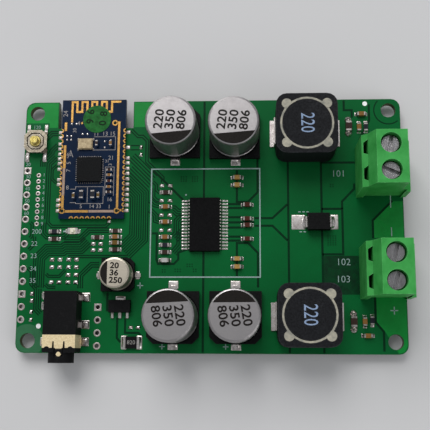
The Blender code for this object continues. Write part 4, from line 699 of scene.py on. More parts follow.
def beyond_group():
    """A mask of what lies outside a box, such as the leads that leave a moulded body."""
    inputs = (("Middle", "Vector", (0, 0, 0)), ("Half", "Vector", (1, 1, 1)))
    tree, given, result = new_group("beyond_body", inputs, (("Mask", "Float"),))
    off = reckon(tree, "SUBTRACT", own_place(tree), given["Middle"], kind="VectorMath")
    size = reckon(tree, "ABSOLUTE", off, kind="VectorMath")
    past = reckon(tree, "SUBTRACT", size, given["Half"], kind="VectorMath")
    split = node(tree, "SeparateXYZ", {0: past}).outputs
    most = reckon(tree, "MAXIMUM", reckon(tree, "MAXIMUM", split[0], split[1]), split[2])
    tree.links.new(reckon(tree, "GREATER_THAN", most, 0.0), result["Mask"])
    return tree


def dust_group():
    """A mask of pale specks on faces that look up."""
    tree, given, result = new_group("settled_dust", (("Amount", "Float", 0.3),), (("Mask", "Float"),))
    flat = spread(tree, upward(tree), 0.5, 0.95)
    place = own_place(tree)
    both = reckon(tree, "MULTIPLY", noise(tree, place, 2600.0, 1.0), noise(tree, place, 160.0, 2.0))
    specks = spread(tree, both, 0.3, 0.42, given["Amount"])
    tree.links.new(reckon(tree, "MULTIPLY", specks, flat), result["Mask"])
    return tree


EFFECT_MAKERS = {
    "mottle": mottle_group, "edge": edge_group, "stroke": stroke_group, "beyond": beyond_group,
    "dust": dust_group,
}
EFFECTS = {}


def effect(tree, name, **values):
    """Places a shared effect in a material and sets its inputs."""
    if name not in EFFECTS:
        EFFECTS[name] = EFFECT_MAKERS[name]()
    made = tree.nodes.new("ShaderNodeGroup")
    made.node_tree = EFFECTS[name]
    for key, value in values.items():
        made.inputs[key].default_value = value
    return made.outputs


def blend(tree, mask, first, second):
    """Mixes two colours, each a socket, a plain colour or screen digits."""
    values = {0: mask, 6: opaque(first), 7: opaque(second)}
    return node(tree, "Mix", values, data_type="RGBA").outputs[2]


def opaque(color):
    """A colour as a shader input takes it; a socket stays as it is."""
    if isinstance(color, bpy.types.NodeSocket):
        return color
    return (*(shade(color) if isinstance(color, str) else tuple(color)[:3]), 1.0)


def span(tree, mask, low, high):
    """A value between two ends, by a mask."""
    return node(tree, "MapRange", {0: mask, 3: low, 4: high}).outputs[0]


class Finish:
    """A material in the making: a shader with a mottled colour, a roughness range and a bump."""

    def __init__(self, name, dark, light, grain, rough, metallic=0.0, bump=0.0, stretch=(1, 1, 1), coat=0.0,
                 gloss=0.12):
        self.material = bpy.data.materials.new(name)
        self.material.use_nodes = True
        self.tree = self.material.node_tree
        self.shader = self.tree.nodes["Principled BSDF"]
        self.shader.inputs["Metallic"].default_value = metallic
        self.shader.inputs["Coat Weight"].default_value = coat
        self.shader.inputs["Coat Roughness"].default_value = 0.12
        self.shader.inputs["Specular IOR Level"].default_value = gloss
        tones = {"Dark": opaque(dark), "Light": opaque(light)}
        self.color, self.height = effect(self.tree, "mottle", **tones, Grain=grain, Stretch=stretch)
        self.rough = span(self.tree, self.height, *rough)
        self.depth = bump

    def rub(self, color, width=0.12, rough=None):
        """Edges turned to another colour: wear from handling, and on the button cover a painted highlight."""
        mask = effect(self.tree, "edge", Width=width)[0]
        self.color = blend(self.tree, mask, self.color, color)
        if rough is not None:
            self.rough = node(self.tree, "Mix", {0: mask, 2: self.rough, 3: rough}).outputs[0]
        return self

    def dust(self, color, amount=0.3):
        """Specks on what looks up."""
        self.color = blend(self.tree, effect(self.tree, "dust", Amount=amount)[0], self.color, color)
        return self

    def strokes(self, spacing, turn=0.0, depth=0.004, shade_to=None):
        """Tool marks in place of the grain's bump, with a second colour where one is given."""
        mask = effect(self.tree, "stroke", Turn=math.radians(turn), Spacing=spacing)[0]
        self.height, self.depth = mask, depth
        if shade_to is not None:
            self.color = blend(self.tree, mask, self.color, shade_to)
        return self

    def leads(self, lowest, highest, color, rough):
        """What is outside the body's box, in board millimetres, is tinned."""
        low, high = (BOARD_CORNER + Vector(p) * MM for p in (lowest, highest))
        mask = effect(self.tree, "beyond", Middle=(low + high) / 2, Half=(high - low) / 2)[0]
        metal = effect(self.tree, "mottle", Dark=opaque(color[0]), Light=opaque(color[1]), Grain=0.5)
        self.color = blend(self.tree, mask, self.color, metal[0])
        tinned = span(self.tree, metal[1], *rough)
        self.rough = node(self.tree, "Mix", {0: mask, 2: self.rough, 3: tinned}).outputs[0]
        self.tree.links.new(mask, self.shader.inputs["Metallic"])
        return self

    def done(self):
        """Links what was made to the shader."""
        links = self.tree.links
        links.new(self.color, self.shader.inputs["Base Color"])
        links.new(self.rough, self.shader.inputs["Roughness"])
        if self.depth:
            values = {"Strength": 1.0, "Distance": self.depth * MM, "Height": self.height}
            bump = node(self.tree, "Bump", values)
            links.new(bump.outputs[0], self.shader.inputs["Normal"])
        return self.material


def dress(material, *names):
    """Gives CAD nodes a material."""
    for name in names:
        slots = NODES[name].data.materials
        slots.clear()
        slots.append(material)


MATERIALS = {}


def soldered(name, *looks):
    """A finish in the two tones of the solder, made once."""
    if name not in MATERIALS:
        s = bpy.context.scene.amp_solder
        MATERIALS[name] = Finish(name, s.dull, s.bright, *looks).done()
    return MATERIALS[name]


def solder_material():
    """Smooth solder."""
    return soldered("solder", 0.35, (0.34, 0.14), 1.0, 0.012)


def tin_material():
    """The tin on leads and clips."""
    return soldered("tinned_lead", 0.8, (0.42, 0.26), 1.0, 0.006)


TIN_TONES = ("8F8884", "CFCAC6")
TIN_ROUGH = (0.4, 0.24)


def black_plastic(name, dark="0B0B0C", light="151516", grain=0.2, rough=(0.7, 0.54), bump=0.006, gloss=0.08):
    """Moulded black plastic, dull and a little grained."""
    return Finish(name, dark, light, grain, rough, bump=bump, gloss=gloss)


class AMP_OT_board_surface(bpy.types.Operator):
    """Finish the main board and draw the gaps of its copper under the mask"""

    bl_idname = "amp.board_surface"
    bl_label = "Board surface"

    def execute(self, context):
        s = context.scene.amp_board
        dress(self.board_material(s), "main_board")
        gap = Finish("mask_over_gap", s.gap, tint(s.gap, 1.35), 2.0, (0.34, 0.28), gloss=0.06).done()
        shape = bmesh.new()
        for path in POUR_GAPS:
            ribbon(shape, path, s.gap_width, -SINK, s.relief)
        new_piece("pour_gaps", shape, gap)
        shape = bmesh.new()
        for row, (path, step, count) in enumerate(TRACE_BUNDLES):
            rise = s.relief + ROW_RISE * row
            for i in range(count + 1):
                ribbon(shape, beside(path, step * (i - 0.5)), s.trace_gap, -SINK, rise)
        (x, y), radius = HOLE_ARC
        ribbon(shape, arc(x, y, radius, range(136, 316, 6)), s.trace_gap, -SINK, s.relief)
        new_piece("trace_gaps", shape, gap)
        self.clear_areas(s)
        self.hatched_areas(s)
        self.hole_mark(s)
        shape = bmesh.new()
        for x, y, across, up in VIA_FIELDS:
            columns = [x + (i - (across - 1) / 2) * VIA_SPACING * 1.1 for i in range(across)]
            for at in grid(columns, [y + (j - (up - 1) / 2) * VIA_SPACING for j in range(up)]):
                prism(shape, disc_outline(*at, 0.13, 10), -SINK, s.relief)
        new_piece("via_dimples", shape, gap)
        return {"FINISHED"}

    def clear_areas(self, s):
        """Mask with no copper under it, which looks brighter."""
        shape = bmesh.new()
        for outline in CLEAR_AREAS:
            prism(shape, outline, -SINK, s.relief * 0.5)
        mask = Finish("mask_over_glass", tint(s.clear, 0.8), s.clear, 3.0, (0.32, 0.26)).done()
        self.open_holes(new_piece("clear_areas", shape, mask))

    def hatched_areas(self, s):
        """A darker sheet of mask beside the power terminal: painted shade of the terminal."""
        shape = bmesh.new()
        prism(shape, SHADED_AREA, -SINK, s.relief * 0.6)
        shaded = [a * 0.75 + b * 0.25 for a, b in zip(s.gap, s.pour)]
        mask = Finish("mask_over_cross_hatch", s.gap, shaded, 1.2, (0.32, 0.26)).done()
        new_piece("hatched_areas", shape, mask)

    def hole_mark(self, s):
        """The paler mask round the lower left mounting hole, kept inside the board's round corner."""
        (x, y), radius = HOLE_MARK
        margin, corner_radius = 0.12, 1.8
        turning = Vector((1.95, 1.95))
        outline = []
        for at in disc_outline(x, y, radius, 48):
            place = Vector((max(at[0], margin), max(at[1], margin)))
            corner = place - turning
            if max(corner) < 0 and corner.length > corner_radius:
                place = turning + corner * corner_radius / corner.length
            outline.append(place)
        shape = bmesh.new()
        prism(shape, outline, -SINK, s.relief * 0.7)
        mask = Finish("mask_round_hole", tint(s.mark, 0.85), s.mark, 2.5, (0.32, 0.26)).done()
        self.open_holes(new_piece("hole_mark", shape, mask))

    def board_material(self, s):
        """Mask over the pours, fibres on the cut edges and a weave that shows through as a bump."""
        finish = Finish("solder_mask", tint(s.pour, 0.86), s.pour, 7.0, (0.34, 0.28), gloss=0.07)
        tree = finish.tree
        flat = reckon(tree, "GREATER_THAN", reckon(tree, "ABSOLUTE", upward(tree)), 0.7)
        tones = {"Dark": opaque(tint(s.core, 0.6)), "Light": opaque(s.core)}
        fibres = effect(tree, "mottle", **tones, Grain=0.35, Stretch=(0.15, 0.15, 3))
        finish.color = blend(tree, flat, fibres[0], finish.color)
        threads = {"Vector": own_place(tree), "Scale": 420.0, "Distortion": 1.5, "Detail": 1.0}
        weave = node(tree, "TexWave", threads)
        finish.height, finish.depth = weave.outputs[1], 0.0012
        return finish.done()

    def open_holes(self, piece):
        """Cuts the mounting holes through what is drawn round them."""
        cutter = bmesh.new()
        for x, y in MOUNT_HOLES:
            prism(cutter, disc_outline(x, y, MOUNT_HOLE_RADIUS, 32), -1, 1)
        helper = add_object("hole_cutter", board_mesh("hole_cutter", cutter))
        cut = piece.modifiers.new("holes", "BOOLEAN")
        cut.operation, cut.solver, cut.object = "DIFFERENCE", "MANIFOLD", helper
        graph = bpy.context.evaluated_depsgraph_get()
        made = bpy.data.meshes.new_from_object(piece.evaluated_get(graph))
        piece.modifiers.clear()
        piece.data = made
        bpy.data.objects.remove(helper)


class AMP_OT_wiring_rings(bpy.types.Operator):
    """Plate the wiring holes and the small probe holes"""

    bl_idname = "amp.wiring_rings"
    bl_label = "Wiring rings"

    def execute(self, context):
        s = context.scene.amp_solder
        rows = ((SIDE_HEADER, s.wire_ring, s.wire_hole), (JACK_HEADER, s.wire_ring, s.wire_hole),
                (PROBES, s.probe_ring, s.probe_hole))
        shape = bmesh.new()
        for ((x, y), count, pitch), outer, hole in rows:
            for i in range(count):
                self.ring(shape, (x, y - i * pitch), outer, hole, s.plating)
        plated = Finish("ring_tin", "9A918D", "CFC6C2", 0.6, (0.4, 0.28), 0.85, 0.004)
        new_piece("wiring_rings", shape, plated.done())
        return {"FINISHED"}

    def ring(self, shape, at, outer, hole, wall):
        """A plated barrel with a soft ring on both sides of the board."""
        inner, root = hole - wall, hole * 0.99
        low = -BOARD_THICKNESS
        lip, brim = inner + 0.03, outer - 0.04
        top = [(inner, 0.0), (lip, 0.05), ((inner + outer) / 2, 0.075), (brim, 0.05), (outer, -SINK)]
        under = [(outer, low + SINK), (brim, low - 0.05), (lip, low - 0.05), (inner, low)]
        profile = top + [(root, -SINK), (root, low + SINK)] + under
        square = any(math.dist(at, place) < 0.05 for place in SQUARE_HOLES)
        spun(shape, at, profile, 24, square_from=outer * 0.8 if square else None)


class AMP_OT_solder_pads(bpy.types.Operator):
    """Put solder on the empty pads and up the leads of the fitted parts"""

    bl_idname = "amp.solder_pads"
    bl_label = "Solder pads"

    def execute(self, context):
        s = context.scene.amp_solder
        shape = bmesh.new()
        for size, places in EMPTY_PADS:
            for x, y in places:
                self.pad_bead(shape, x, y, *size, s.pad_rise)
        wetted = Finish("pad_solder", "7C706A", "F0EAE6", 0.5, (0.3, 0.12), 1.0, 0.01).done()
        new_piece("empty_pads", shape, wetted)
        shape = bmesh.new()
        for x, y, radius in FIDUCIALS:
            prism(shape, disc_outline(x, y, radius), -SINK, 0.03, 0.05)
        pale = Finish("fiducial_tin", "E4E0E2", "FFFFFF", 0.5, (0.5, 0.4), 0.2)
        new_piece("fiducial_marks", shape, pale.done())
        shape = bmesh.new()
        for x, y, length, width in FLAT_PADS:
            mound(shape, box_outline(x, y, length, width, 0.12), -SINK, 0.05, 0.85, 2)
        new_piece("part_pads", shape, tin_material())
        shape = bmesh.new()
        for x, y, way, length, width, high in LEAD_SOLDER:
            climb(shape, x, y, way, length, width, high)
        for x, y, length, width, high in LEAD_LUMPS:
            mound(shape, box_outline(x, y, length, width, 0.3), -SINK, high, 0.5)
        for at in SOLDER_CRATERS:
            spun(shape, at, [(0.12, -SINK), (0.18, 0.15), (0.42, 0.42), (0.6, 0.3), (0.74, -SINK)])
        grainy = Finish("grainy_solder", "5E5652", "D2CAC6", 0.7, (0.4, 0.2), 1.0, 0.02).done()
        lumps = bmesh.new()
        for x, y, length, width, high in JACK_LUMPS:
            mound(lumps, box_outline(x, y, length, width, 0.3), -SINK, high, 0.5)
        new_piece("jack_solder", lumps, grainy)
        new_piece("lead_solder", shape, solder_material())
        shape = bmesh.new()
        for side, heights in ((-1, MODULE_LEFT_PADS), (1, MODULE_RIGHT_PADS)):
            edge = MODULE_MIDDLE + side * MODULE_PADS_OUT
            for y in heights:
                mound(shape, box_outline(edge + side * 0.42, y, 0.95, 0.72, 0.12), -SINK, 0.09, 0.75, 3)
                climb(shape, edge - side * 0.22, y, (side, 0), 0.48, 0.5, 0.5)
        grey = Finish("pad_tin", "8C8380", "C9C0BC", 0.5, (0.48, 0.34), 0.85, 0.006).done()
        new_piece("module_solder", shape, grey)
        return {"FINISHED"}

    def pad_bead(self, shape, x, y, length, width, high):
        """Solder that has drawn up into a slanting ridge on its pad."""
        shares = ((0.0, 1.0), (0.3, 0.94), (0.75, 0.62), (1.0, 0.25))
        levels = [(-SINK + (high + SINK) * level, share) for level, share in shares]
        stack(shape, box_outline(x, y, length, width, 0.16), levels, 0.5)


class AMP_OT_chip_parts(bpy.types.Operator):
    """Dress the chip resistors and capacitors of both boards with bodies, end caps and solder"""

    bl_idname = "amp.chip_parts"
    bl_label = "Chip parts"

    def execute(self, context):
        s = context.scene.amp_chips
        names = ("tan", "sand", "olive", "umber", "russet", "slate", "white")
        tones = {name: getattr(s, name) for name in names}
        bodies = {name: bmesh.new() for name in tones}
        caps, solder = bmesh.new(), bmesh.new()
        for rows, floor, pads in ((BOARD_CHIPS, 0.0, True), (MODULE_CHIPS, MODULE_TOP, False)):
            for kind, along, x, y, tone in rows:
                self.chip(bodies[tone], caps, solder, kind, along, (x, y, floor), pads, s.cover)
        for name, shape in bodies.items():
            color = tones[name]
            finish = Finish(f"ceramic_{name}", tint(color, 0.72), color, 0.35, (0.5, 0.34), bump=0.004)
            finish.rub(tint(color, 1.8), 0.06)
            new_piece(f"chips_{name}", shape, finish.done())
        cap = Finish("cap_tin", "75706C", "BDB7B2", 0.5, (0.45, 0.3), 0.9, 0.004).done()
        new_piece("chip_caps", caps, cap)
        dark = Finish("chip_solder", "6E6662", "D6D0CC", 0.4, (0.36, 0.18), 1.0, 0.006).done()
        new_piece("chip_solder", solder, dark)
        return {"FINISHED"}

    def chip(self, bodies, caps, solder, kind, along, at, pads, cover):
        """A body with a cap on each end, and the solder that climbs each cap."""
        length, width, height = CHIP_SIZES[kind]
        x, y, floor = at
        end = 0.2 * length
        ways = ((1, 0), (-1, 0)) if along == "X" else ((0, 1), (0, -1))
        turned = slice(None) if along == "X" else slice(None, None, -1)
        size = (length - 1.4 * end, width + cover)[turned]
        cap = (end + cover, width + 2 * cover)[turned]
        foot = (0.75, width)[turned]
        top = floor + height
        prism(bodies, box_outline(x, y, *size, 0.04, 2), floor - SINK, top + cover * 0.4, 0.04)
        for way in ways:
            reach = length / 2 - end / 2 + cover / 2
            px, py = x + way[0] * reach, y + way[1] * reach
            mound(caps, box_outline(px, py, *cap, 0.07), floor - SINK, top + cover, 0.8, 3)
            edge = length / 2 + cover * 0.6
            ex, ey = x + way[0] * edge, y + way[1] * edge
            if pads:
                climb(solder, ex, ey, way, 0.42, width * 0.98, height * 0.62)
                pad = box_outline(ex + way[0] * 0.1, ey + way[1] * 0.1, *foot, 0.1)
                mound(solder, pad, -SINK, 0.06, 0.8, 2)
            else:
                climb(solder, ex, ey, way, 0.2, width * 0.95, height * 0.6, floor)


class AMP_OT_signs(bpy.types.Operator):
    """Print the white lines and the plain numbers of the main board"""

    bl_idname = "amp.signs"
    bl_label = "Signs"

    def execute(self, context):
        s = context.scene.amp_signs
        ink = Finish("sign_ink", tint(s.board_ink, 0.8), s.board_ink, 0.5, (0.6, 0.45), bump=0.004).done()
        shape = bmesh.new()
        for path, width, closed in SIGN_LINES:
            ribbon(shape, path, width, -SINK, s.rise, closed)
        new_piece("sign_lines", shape, ink)
        shape = bmesh.new()
        for words, x, y, height in BOARD_NUMBERS:
            add_number(shape, words, x, y, height, 0, -SINK, s.rise, 1.0, -0.012 * height)
        new_piece("board_numbers", shape, ink)
        return {"FINISHED"}


class AMP_OT_module(bpy.types.Operator):
    """Finish the wireless module: mask, plated strips, contacts, chip, crystal and sticker"""

    bl_idname = "amp.module"
    bl_label = "Module"

    def execute(self, context):
        s = context.scene.amp_module
        mask = Finish("module_mask", tint(s.mask, 0.75), s.mask, 3.0, (0.34, 0.28), gloss=0.08)
        mask.rub([min(c * 3 + 0.05, 1) for c in s.mask], 0.06)
        dress(mask.done(), "module_board")
        gold = Finish("plated_gold", tint(s.gold, 0.72), s.gold, 0.8, (0.42, 0.28), 0.75, 0.008).done()
        dull = Finish("masked_copper", tint(s.dull_gold, 0.8), s.dull_gold, 0.6, (0.5, 0.35), 0.4).done()
        top, rise = MODULE_TOP, MODULE_TOP + s.strip_rise
        shape = bmesh.new()
        for path, width in MODULE_GOLD:
            ribbon(shape, path, width, top - SINK, rise)
        for x, y in MODULE_RINGS:
            spun(shape, (x, y), [(0.34, top - SINK), (0.34, rise), (0.6, rise), (0.6, top - SINK)])
        prism(shape, disc_outline(12.05, 46.85, 0.22), top - SINK, rise)
        new_piece("module_strips", shape, gold)
        # Dark discs inside the plated rings: painted shade of the holes
        shape = bmesh.new()
        for x, y in MODULE_RINGS:
            prism(shape, disc_outline(x, y, 0.34), top - SINK, top + 0.012)
        hole = Finish("module_hole", "0A1410", "14241C", 0.3, (0.6, 0.5)).done()
        new_piece("module_ring_holes", shape, hole)
        shape = bmesh.new()
        for path, width in MODULE_DULL:
            ribbon(shape, path, width, top - SINK, rise)
        new_piece("module_dull_strips", shape, dull)
        self.contacts(s, gold)
        self.details(context, top)
        return {"FINISHED"}

    def contacts(self, s, gold):
        """A plated half barrel and a crescent at each half round notch."""
        shape = bmesh.new()
        places = []
        for i in range(s.contacts):
            places += [((x, FIRST_CONTACT + i * s.pitch), start) for x, start in CONTACT_COLUMNS]
        x, y = END_CONTACTS_AT
        for i in range(s.end_contacts):
            places.append(((x + (i - (s.end_contacts - 1) / 2) * s.pitch, y), 0))
        top = MODULE_TOP + s.strip_rise
        inner, outer = s.notch - 0.04, s.notch + 0.19
        for at, start in places:
            profile = [(inner, 0.03), (s.notch, 0.03), (s.notch, MODULE_TOP - SINK)]
            profile += [(outer, MODULE_TOP - SINK), (outer, top), (inner, top)]
            spun(shape, at, profile, 10, start, 180)
        new_piece("module_contacts", shape, gold)

    def details(self, context, top):
        """Signs, dots and what is fitted on the module."""
        ink_color = context.scene.amp_signs.module_ink
        ink = Finish("module_ink", tint(ink_color, 0.75), ink_color, 0.4, (0.6, 0.45)).done()
        shape = bmesh.new()
        for words, x, y, height, turn in MODULE_NUMBERS:
            add_number(shape, words, x, y, height, turn, top - SINK, top + 0.015)
        for path, width in MODULE_SIGN_LINES:
            ribbon(shape, path, width, top - SINK, top + 0.015)
        new_piece("module_signs", shape, ink)
        shape = bmesh.new()
        for x, y in MODULE_DOTS:
            mound(shape, box_outline(x, y, 0.42, 0.42, 0.1), top - SINK, top + 0.12, 0.3, 3)
        new_piece("module_dots", shape, solder_material())
        self.pins(top)
        black = black_plastic("module_chip_black", "0C0D0E", "151617", 0.25, (0.65, 0.5), 0.004)
        dress(black.rub("3A3A3C", 0.08).done(), "module_chip")
        lid = Finish("crystal_lid", "8C7C62", "AA9A7C", 0.5, (0.5, 0.4), 0.6, 0.004)
        dress(lid.strokes(0.06, 90, 0.002).done(), "module_crystal")
        self.sticker(top + STICKER_TOP)

    def pins(self, top):
        """The module chip's fine pins and the crystal's four feet."""
        shape = bmesh.new()
        x, y = MODULE_CHIP_AT
        reach, length, width = 2.71, 0.4, 0.17
        for i in range(12):
            step = (i - 5.5) * 0.4
            upright = [(x + step, y + side * reach, width, length) for side in (1, -1)]
            level = [(x + side * reach, y + step, length, width) for side in (-1, 1)]
            for pin in upright + level:
                mound(shape, box_outline(*pin, 0.04, 2), top - SINK, top + 0.06, 0.6, 2)
        for at in grid((11.4, 14.56), (41.25, 43.3)):
            mound(shape, box_outline(*at, 0.35, 0.7, 0.1), top - SINK, top + 0.06, 0.5, 2)
        pins = Finish("pin_tin", "5C5754", "96908C", 0.3, (0.5, 0.4), 0.7).done()
        new_piece("module_pins", shape, pins)

    def sticker(self, seat):
        """The round sticker and its four digits."""
        green = Finish("sticker_green", "0E4E1A", "1B6E2B", 0.9, (0.5, 0.35), bump=0.008)
        dress(green.rub("2E8440", 0.05).done(), "inspection_sticker")
        dark = Finish("sticker_ink", "04240A", "072E0E", 0.4, (0.6, 0.5)).done()
        shape = bmesh.new()
        for words, x, y in (("6", 13.9, 49.2), ("8", 16.6, 48.8), ("9", 13.8, 47.2), ("0", 16.4, 46.8)):
            add_number(shape, words, x, y, 1.5, 90, seat, seat + 0.02, 1.05, 0.06)
        new_piece("sticker_numbers", shape, dark)


class AMP_OT_amplifier_chip(bpy.types.Operator):
    """Finish the amplifier chip and solder its 32 leads"""

    bl_idname = "amp.amplifier_chip"
    bl_label = "Amplifier chip"

    def execute(self, context):
        x, y = AMPLIFIER_AT
        body = black_plastic("amplifier_black", "0A0A0B", "121213", rough=(0.75, 0.6), gloss=0.06)
        body.rub("222224", 0.1)
        half_x, half_y = 3.06, 5.52
        body.leads((x - half_x, y - half_y, -1), (x + half_x, y + half_y, 3), TIN_TONES, TIN_ROUGH)
        dress(body.done(), "amplifier_chip")
        pads = bmesh.new()
        for side in (-1, 1):
            for i in range(AMPLIFIER_LEADS):
                row = y + ((AMPLIFIER_LEADS - 1) / 2 - i) * AMPLIFIER_PITCH
                prism(pads, box_outline(x + side * 4.02, row, 1.3, 0.36, 0.06, 2), -SINK, 0.03)
                climb(pads, x + side * 4.03, row, (side, 0), 0.55, 0.34, 0.2)
                climb(pads, x + side * 3.42, row, (-side, 0), 0.18, 0.34, 0.2)
        new_piece("amplifier_solder", pads, solder_material())
        return {"FINISHED"}


class AMP_OT_capacitors(bpy.types.Operator):
    """Finish the capacitor cans and print their dark side and plain numbers"""

    bl_idname = "amp.capacitors"
    bl_label = "Capacitors"

    def execute(self, context):
        s = context.scene.amp_cans
        metal = Finish("can_metal", tint(s.metal, 0.86), s.metal, 1.6, (0.4, 0.3), 0.9, stretch=(1, 1, 0.3))
        metal = metal.strokes(0.09, 84, 0.0025).done()
        warm = Finish("small_can_metal", tint(s.warm_metal, 0.84), s.warm_metal, 1.2, (0.42, 0.3), 0.9)
        warm = warm.strokes(0.08, 4, 0.0025).done()
        ink = Finish("can_ink", s.ink, tint(s.ink, 1.5), 0.22, (0.65, 0.5), bump=0.004, gloss=0.08).done()
        shape = bmesh.new()
        digits = (s.first_row, s.second_row, s.third_row)
        for x, y, turn, slant in LARGE_CANS:
            self.dark_side(shape, x, y, turn, LARGE_CAN_TOP, radius=4.62, share=s.print_share)
            self.rows(shape, x, y, slant, digits, LARGE_CAN_TOP, height=1.75, pitch=2.2, lift=0.12, lean=0.25)
        x, y = SMALL_CAN
        self.dark_side(shape, x, y, -90, SMALL_CAN_TOP, radius=2.7, share=0.5)
        digits = ("20", "36", "250")
        self.rows(shape, x + 0.4, y - 0.1, -3, digits, SMALL_CAN_TOP, height=1.15, pitch=1.42)
        new_piece("can_print", shape, ink)
        names = [f"filter_capacitor_{i}" for i in (1, 2, 3, 4)]
        dress(metal, *[f"{name}_can" for name in names])
        dress(warm, "supply_capacitor_can")
        bases = [(*can[:2], 5.2) for can in LARGE_CANS] + [(*SMALL_CAN, 3.35)]
        for name, (x, y, half) in zip([*names, "supply_capacitor"], bases):
            base = black_plastic(f"{name}_plastic", grain=0.3, rough=(0.62, 0.48), bump=0.004)
            base.rub("2A2A2C", 0.12)
            base.leads((x - half, y - half, -1), (x + half, y + half, 20), TIN_TONES, TIN_ROUGH)
            dress(base.done(), f"{name}_base")
        return {"FINISHED"}

    def dark_side(self, shape, x, y, turn, top, radius, share):
        """The printed segment of a can's top, below a chord."""
        half = math.degrees(math.acos(share))
        degrees = [turn - 90 + half * (i / 10 - 1) for i in range(21)]
        prism(shape, arc(x, y, radius, degrees), top - SINK, top + 0.012)

    def rows(self, shape, x, y, turn, rows, top, height, pitch, lift=0.0, lean=1.0):
        """Rows of digits on a can's top, starting level; lean is how far the next row follows the turn."""
        way = Vector((math.cos(math.radians(turn)), math.sin(math.radians(turn))))
        down = Vector((way.y, -lean * way.x))
        middle = Vector((x, y)) + way * lift
        longest = max(len(words) for words in rows)
        for i, words in enumerate(rows):
            place = middle + down * pitch * (i - (len(rows) - 1) / 2)
            place -= way * 0.36 * height * (longest - len(words))
            add_number(shape, words, place.x, place.y, height, turn, top - SINK, top + 0.012, 1.1, 0.05)


class AMP_OT_coils(bpy.types.Operator):
    """Finish the two shielded coils and print a plain number on each"""

    bl_idname = "amp.coils"
    bl_label = "Coils"

    def execute(self, context):
        ferrite = Finish("ferrite", "121214", "202124", 0.25, (0.75, 0.55), bump=0.01, gloss=0.1)
        ferrite.rub("3C3D40", 0.25, 0.5).dust("4A4A4C", 0.12)
        ferrite = ferrite.done()
        epoxy = Finish("potting", "838279", "B4AE9C", 1.4, (0.42, 0.28), bump=0.02, coat=0.1).done()
        copper = Finish("copper_wire", "7A3A1C", "B8642E", 0.3, (0.4, 0.28), 1.0).done()
        ink = Finish("coil_ink", "7488A6", "96A9C4", 0.3, (0.6, 0.45)).done()
        shape = bmesh.new()
        for i, (x, y) in enumerate(COILS, 1):
            name = f"output_coil_{i}"
            dress(ferrite, f"{name}_shield", f"{name}_core")
            dress(epoxy, f"{name}_potting")
            dress(copper, f"{name}_winding")
            dress(tin_material(), f"{name}_clip_left", f"{name}_clip_right")
            add_number(shape, "220", x, y, 2.75, -90, COIL_TOP - SINK, COIL_TOP + 0.012, 0.72)
        new_piece("coil_numbers", shape, ink)
        return {"FINISHED"}


class AMP_OT_small_parts(bpy.types.Operator):
    """Finish the regulator, the diode, the sensing resistor and the lamp"""

    bl_idname = "amp.small_parts"
    bl_label = "Small parts"

    def execute(self, context):
        boxes = (("regulator", (18.57, 7.94, -1), (23.09, 10.46, 4)),
                 ("reverse_diode", (58.08, 24.18, 0.13), (62.62, 27.82, 4)),
                 ("sense_resistor", (22.12, 0.5, -1), (24.38, 3.7, 4)))
        for name, low, high in boxes:
            body = black_plastic(f"{name}_black").rub("262628", 0.1)
            body.leads(low, high, TIN_TONES, TIN_ROUGH)
            dress(body.done(), name)
        lamp = Finish("lamp_resin", "CFC9B2", "EFEBD8", 0.5, (0.35, 0.2), coat=0.5)
        lamp.leads((10.2, 23.0, -1), (11.3, 26.0, 4), TIN_TONES, TIN_ROUGH)
        dress(lamp.done(), "status_lamp")
        ink = Finish("resistor_ink", "7C7A76", "96948F", 0.3, (0.6, 0.45)).done()
        shape = bmesh.new()
        add_number(shape, "820", 23.25, 2.1, 0.8, 0, 0.62, 0.66)
        new_piece("resistor_number", shape, ink)
        return {"FINISHED"}


class AMP_OT_button(bpy.types.Operator):
    """Finish the push button"""

    bl_idname = "amp.button"
    bl_label = "Push button"

    def execute(self, context):
        plate = Finish("button_plate", "7F7667", "9E9584", 0.7, (0.42, 0.32), 0.9, 0.003)
        # The pale rim is a painted highlight where light catches the cover's edge
        dress(plate.rub("E0D8CA", 0.1).done(), "button_cover")
        # A dark ring laid in the cover's octagonal groove: painted shade of the groove
        shape = bmesh.new()
        half, flat = 1.665, 0.785
        eight = []
        for sx, sy in ((1, 1), (-1, 1), (-1, -1), (1, -1)):
            pair = [(sx * half, sy * flat), (sx * flat, sy * half)]
            eight += pair if sx == sy else pair[::-1]
        x, y = BUTTON_AT
        ribbon(shape, [(x + dx, y + dy) for dx, dy in eight], 0.18, 1.38, 1.46, True)
        shadow = Finish("groove_dirt", "2E2A24", "4A443A", 0.3, (0.6, 0.5)).done()
        new_piece("button_groove", shape, shadow)
        body = Finish("button_body", "6F675A", "8D8474", 0.4, (0.5, 0.36), 0.4, 0.004)
        body.leads((0.36, 40.68, 0.0), (4.84, 45.18, 4), TIN_TONES, TIN_ROUGH)
        dress(body.done(), "button_housing")
        brass = Finish("plunger_brass", "A8944A", "DCCB7C", 0.5, (0.4, 0.24), 0.6, 0.004)
        dress(brass.rub("F4E8A8", 0.12).done(), "button_plunger")
        dress(tin_material(), "button_dome")
        return {"FINISHED"}


class AMP_OT_jack(bpy.types.Operator):
    """Finish the audio jack"""

    bl_idname = "amp.jack"
    bl_label = "Audio jack"

    def execute(self, context):
        body = black_plastic("jack_black", "0C0C0D", "141415", 0.15, (0.6, 0.48), 0.004)
        black = body.rub("262628", 0.1).dust("3A3A3A", 0.1).done()
        dress(black, "jack_body")
        # A black slab over the tongue where it dips into the body, with a bite round its bright tip: painted
        # shadow of the dip
        shape = bmesh.new()
        middle, half, near, far = 9.9, 0.67, -0.17, 0.93
        bite = arc(middle, near, 0.42, range(180, -1, -20))
        left, right = middle - half, middle + half
        prism(shape, [(right, far), (left, far), (left, near), *bite, (right, near)], 4.5, 4.8)
        new_piece("jack_tongue_cover", shape, black)
        shell = Finish("jack_shell_plate", "D6C096", "F2E0B6", 0.3, (0.55, 0.4), 0.45, 0.004)
        dress(shell.rub("FFF4D8", 0.06).done(), "jack_shell")
        dress(tin_material(), *[f"jack_{name}_contact" for name in ("ring", "sleeve", "tip", "switch")])
        return {"FINISHED"}


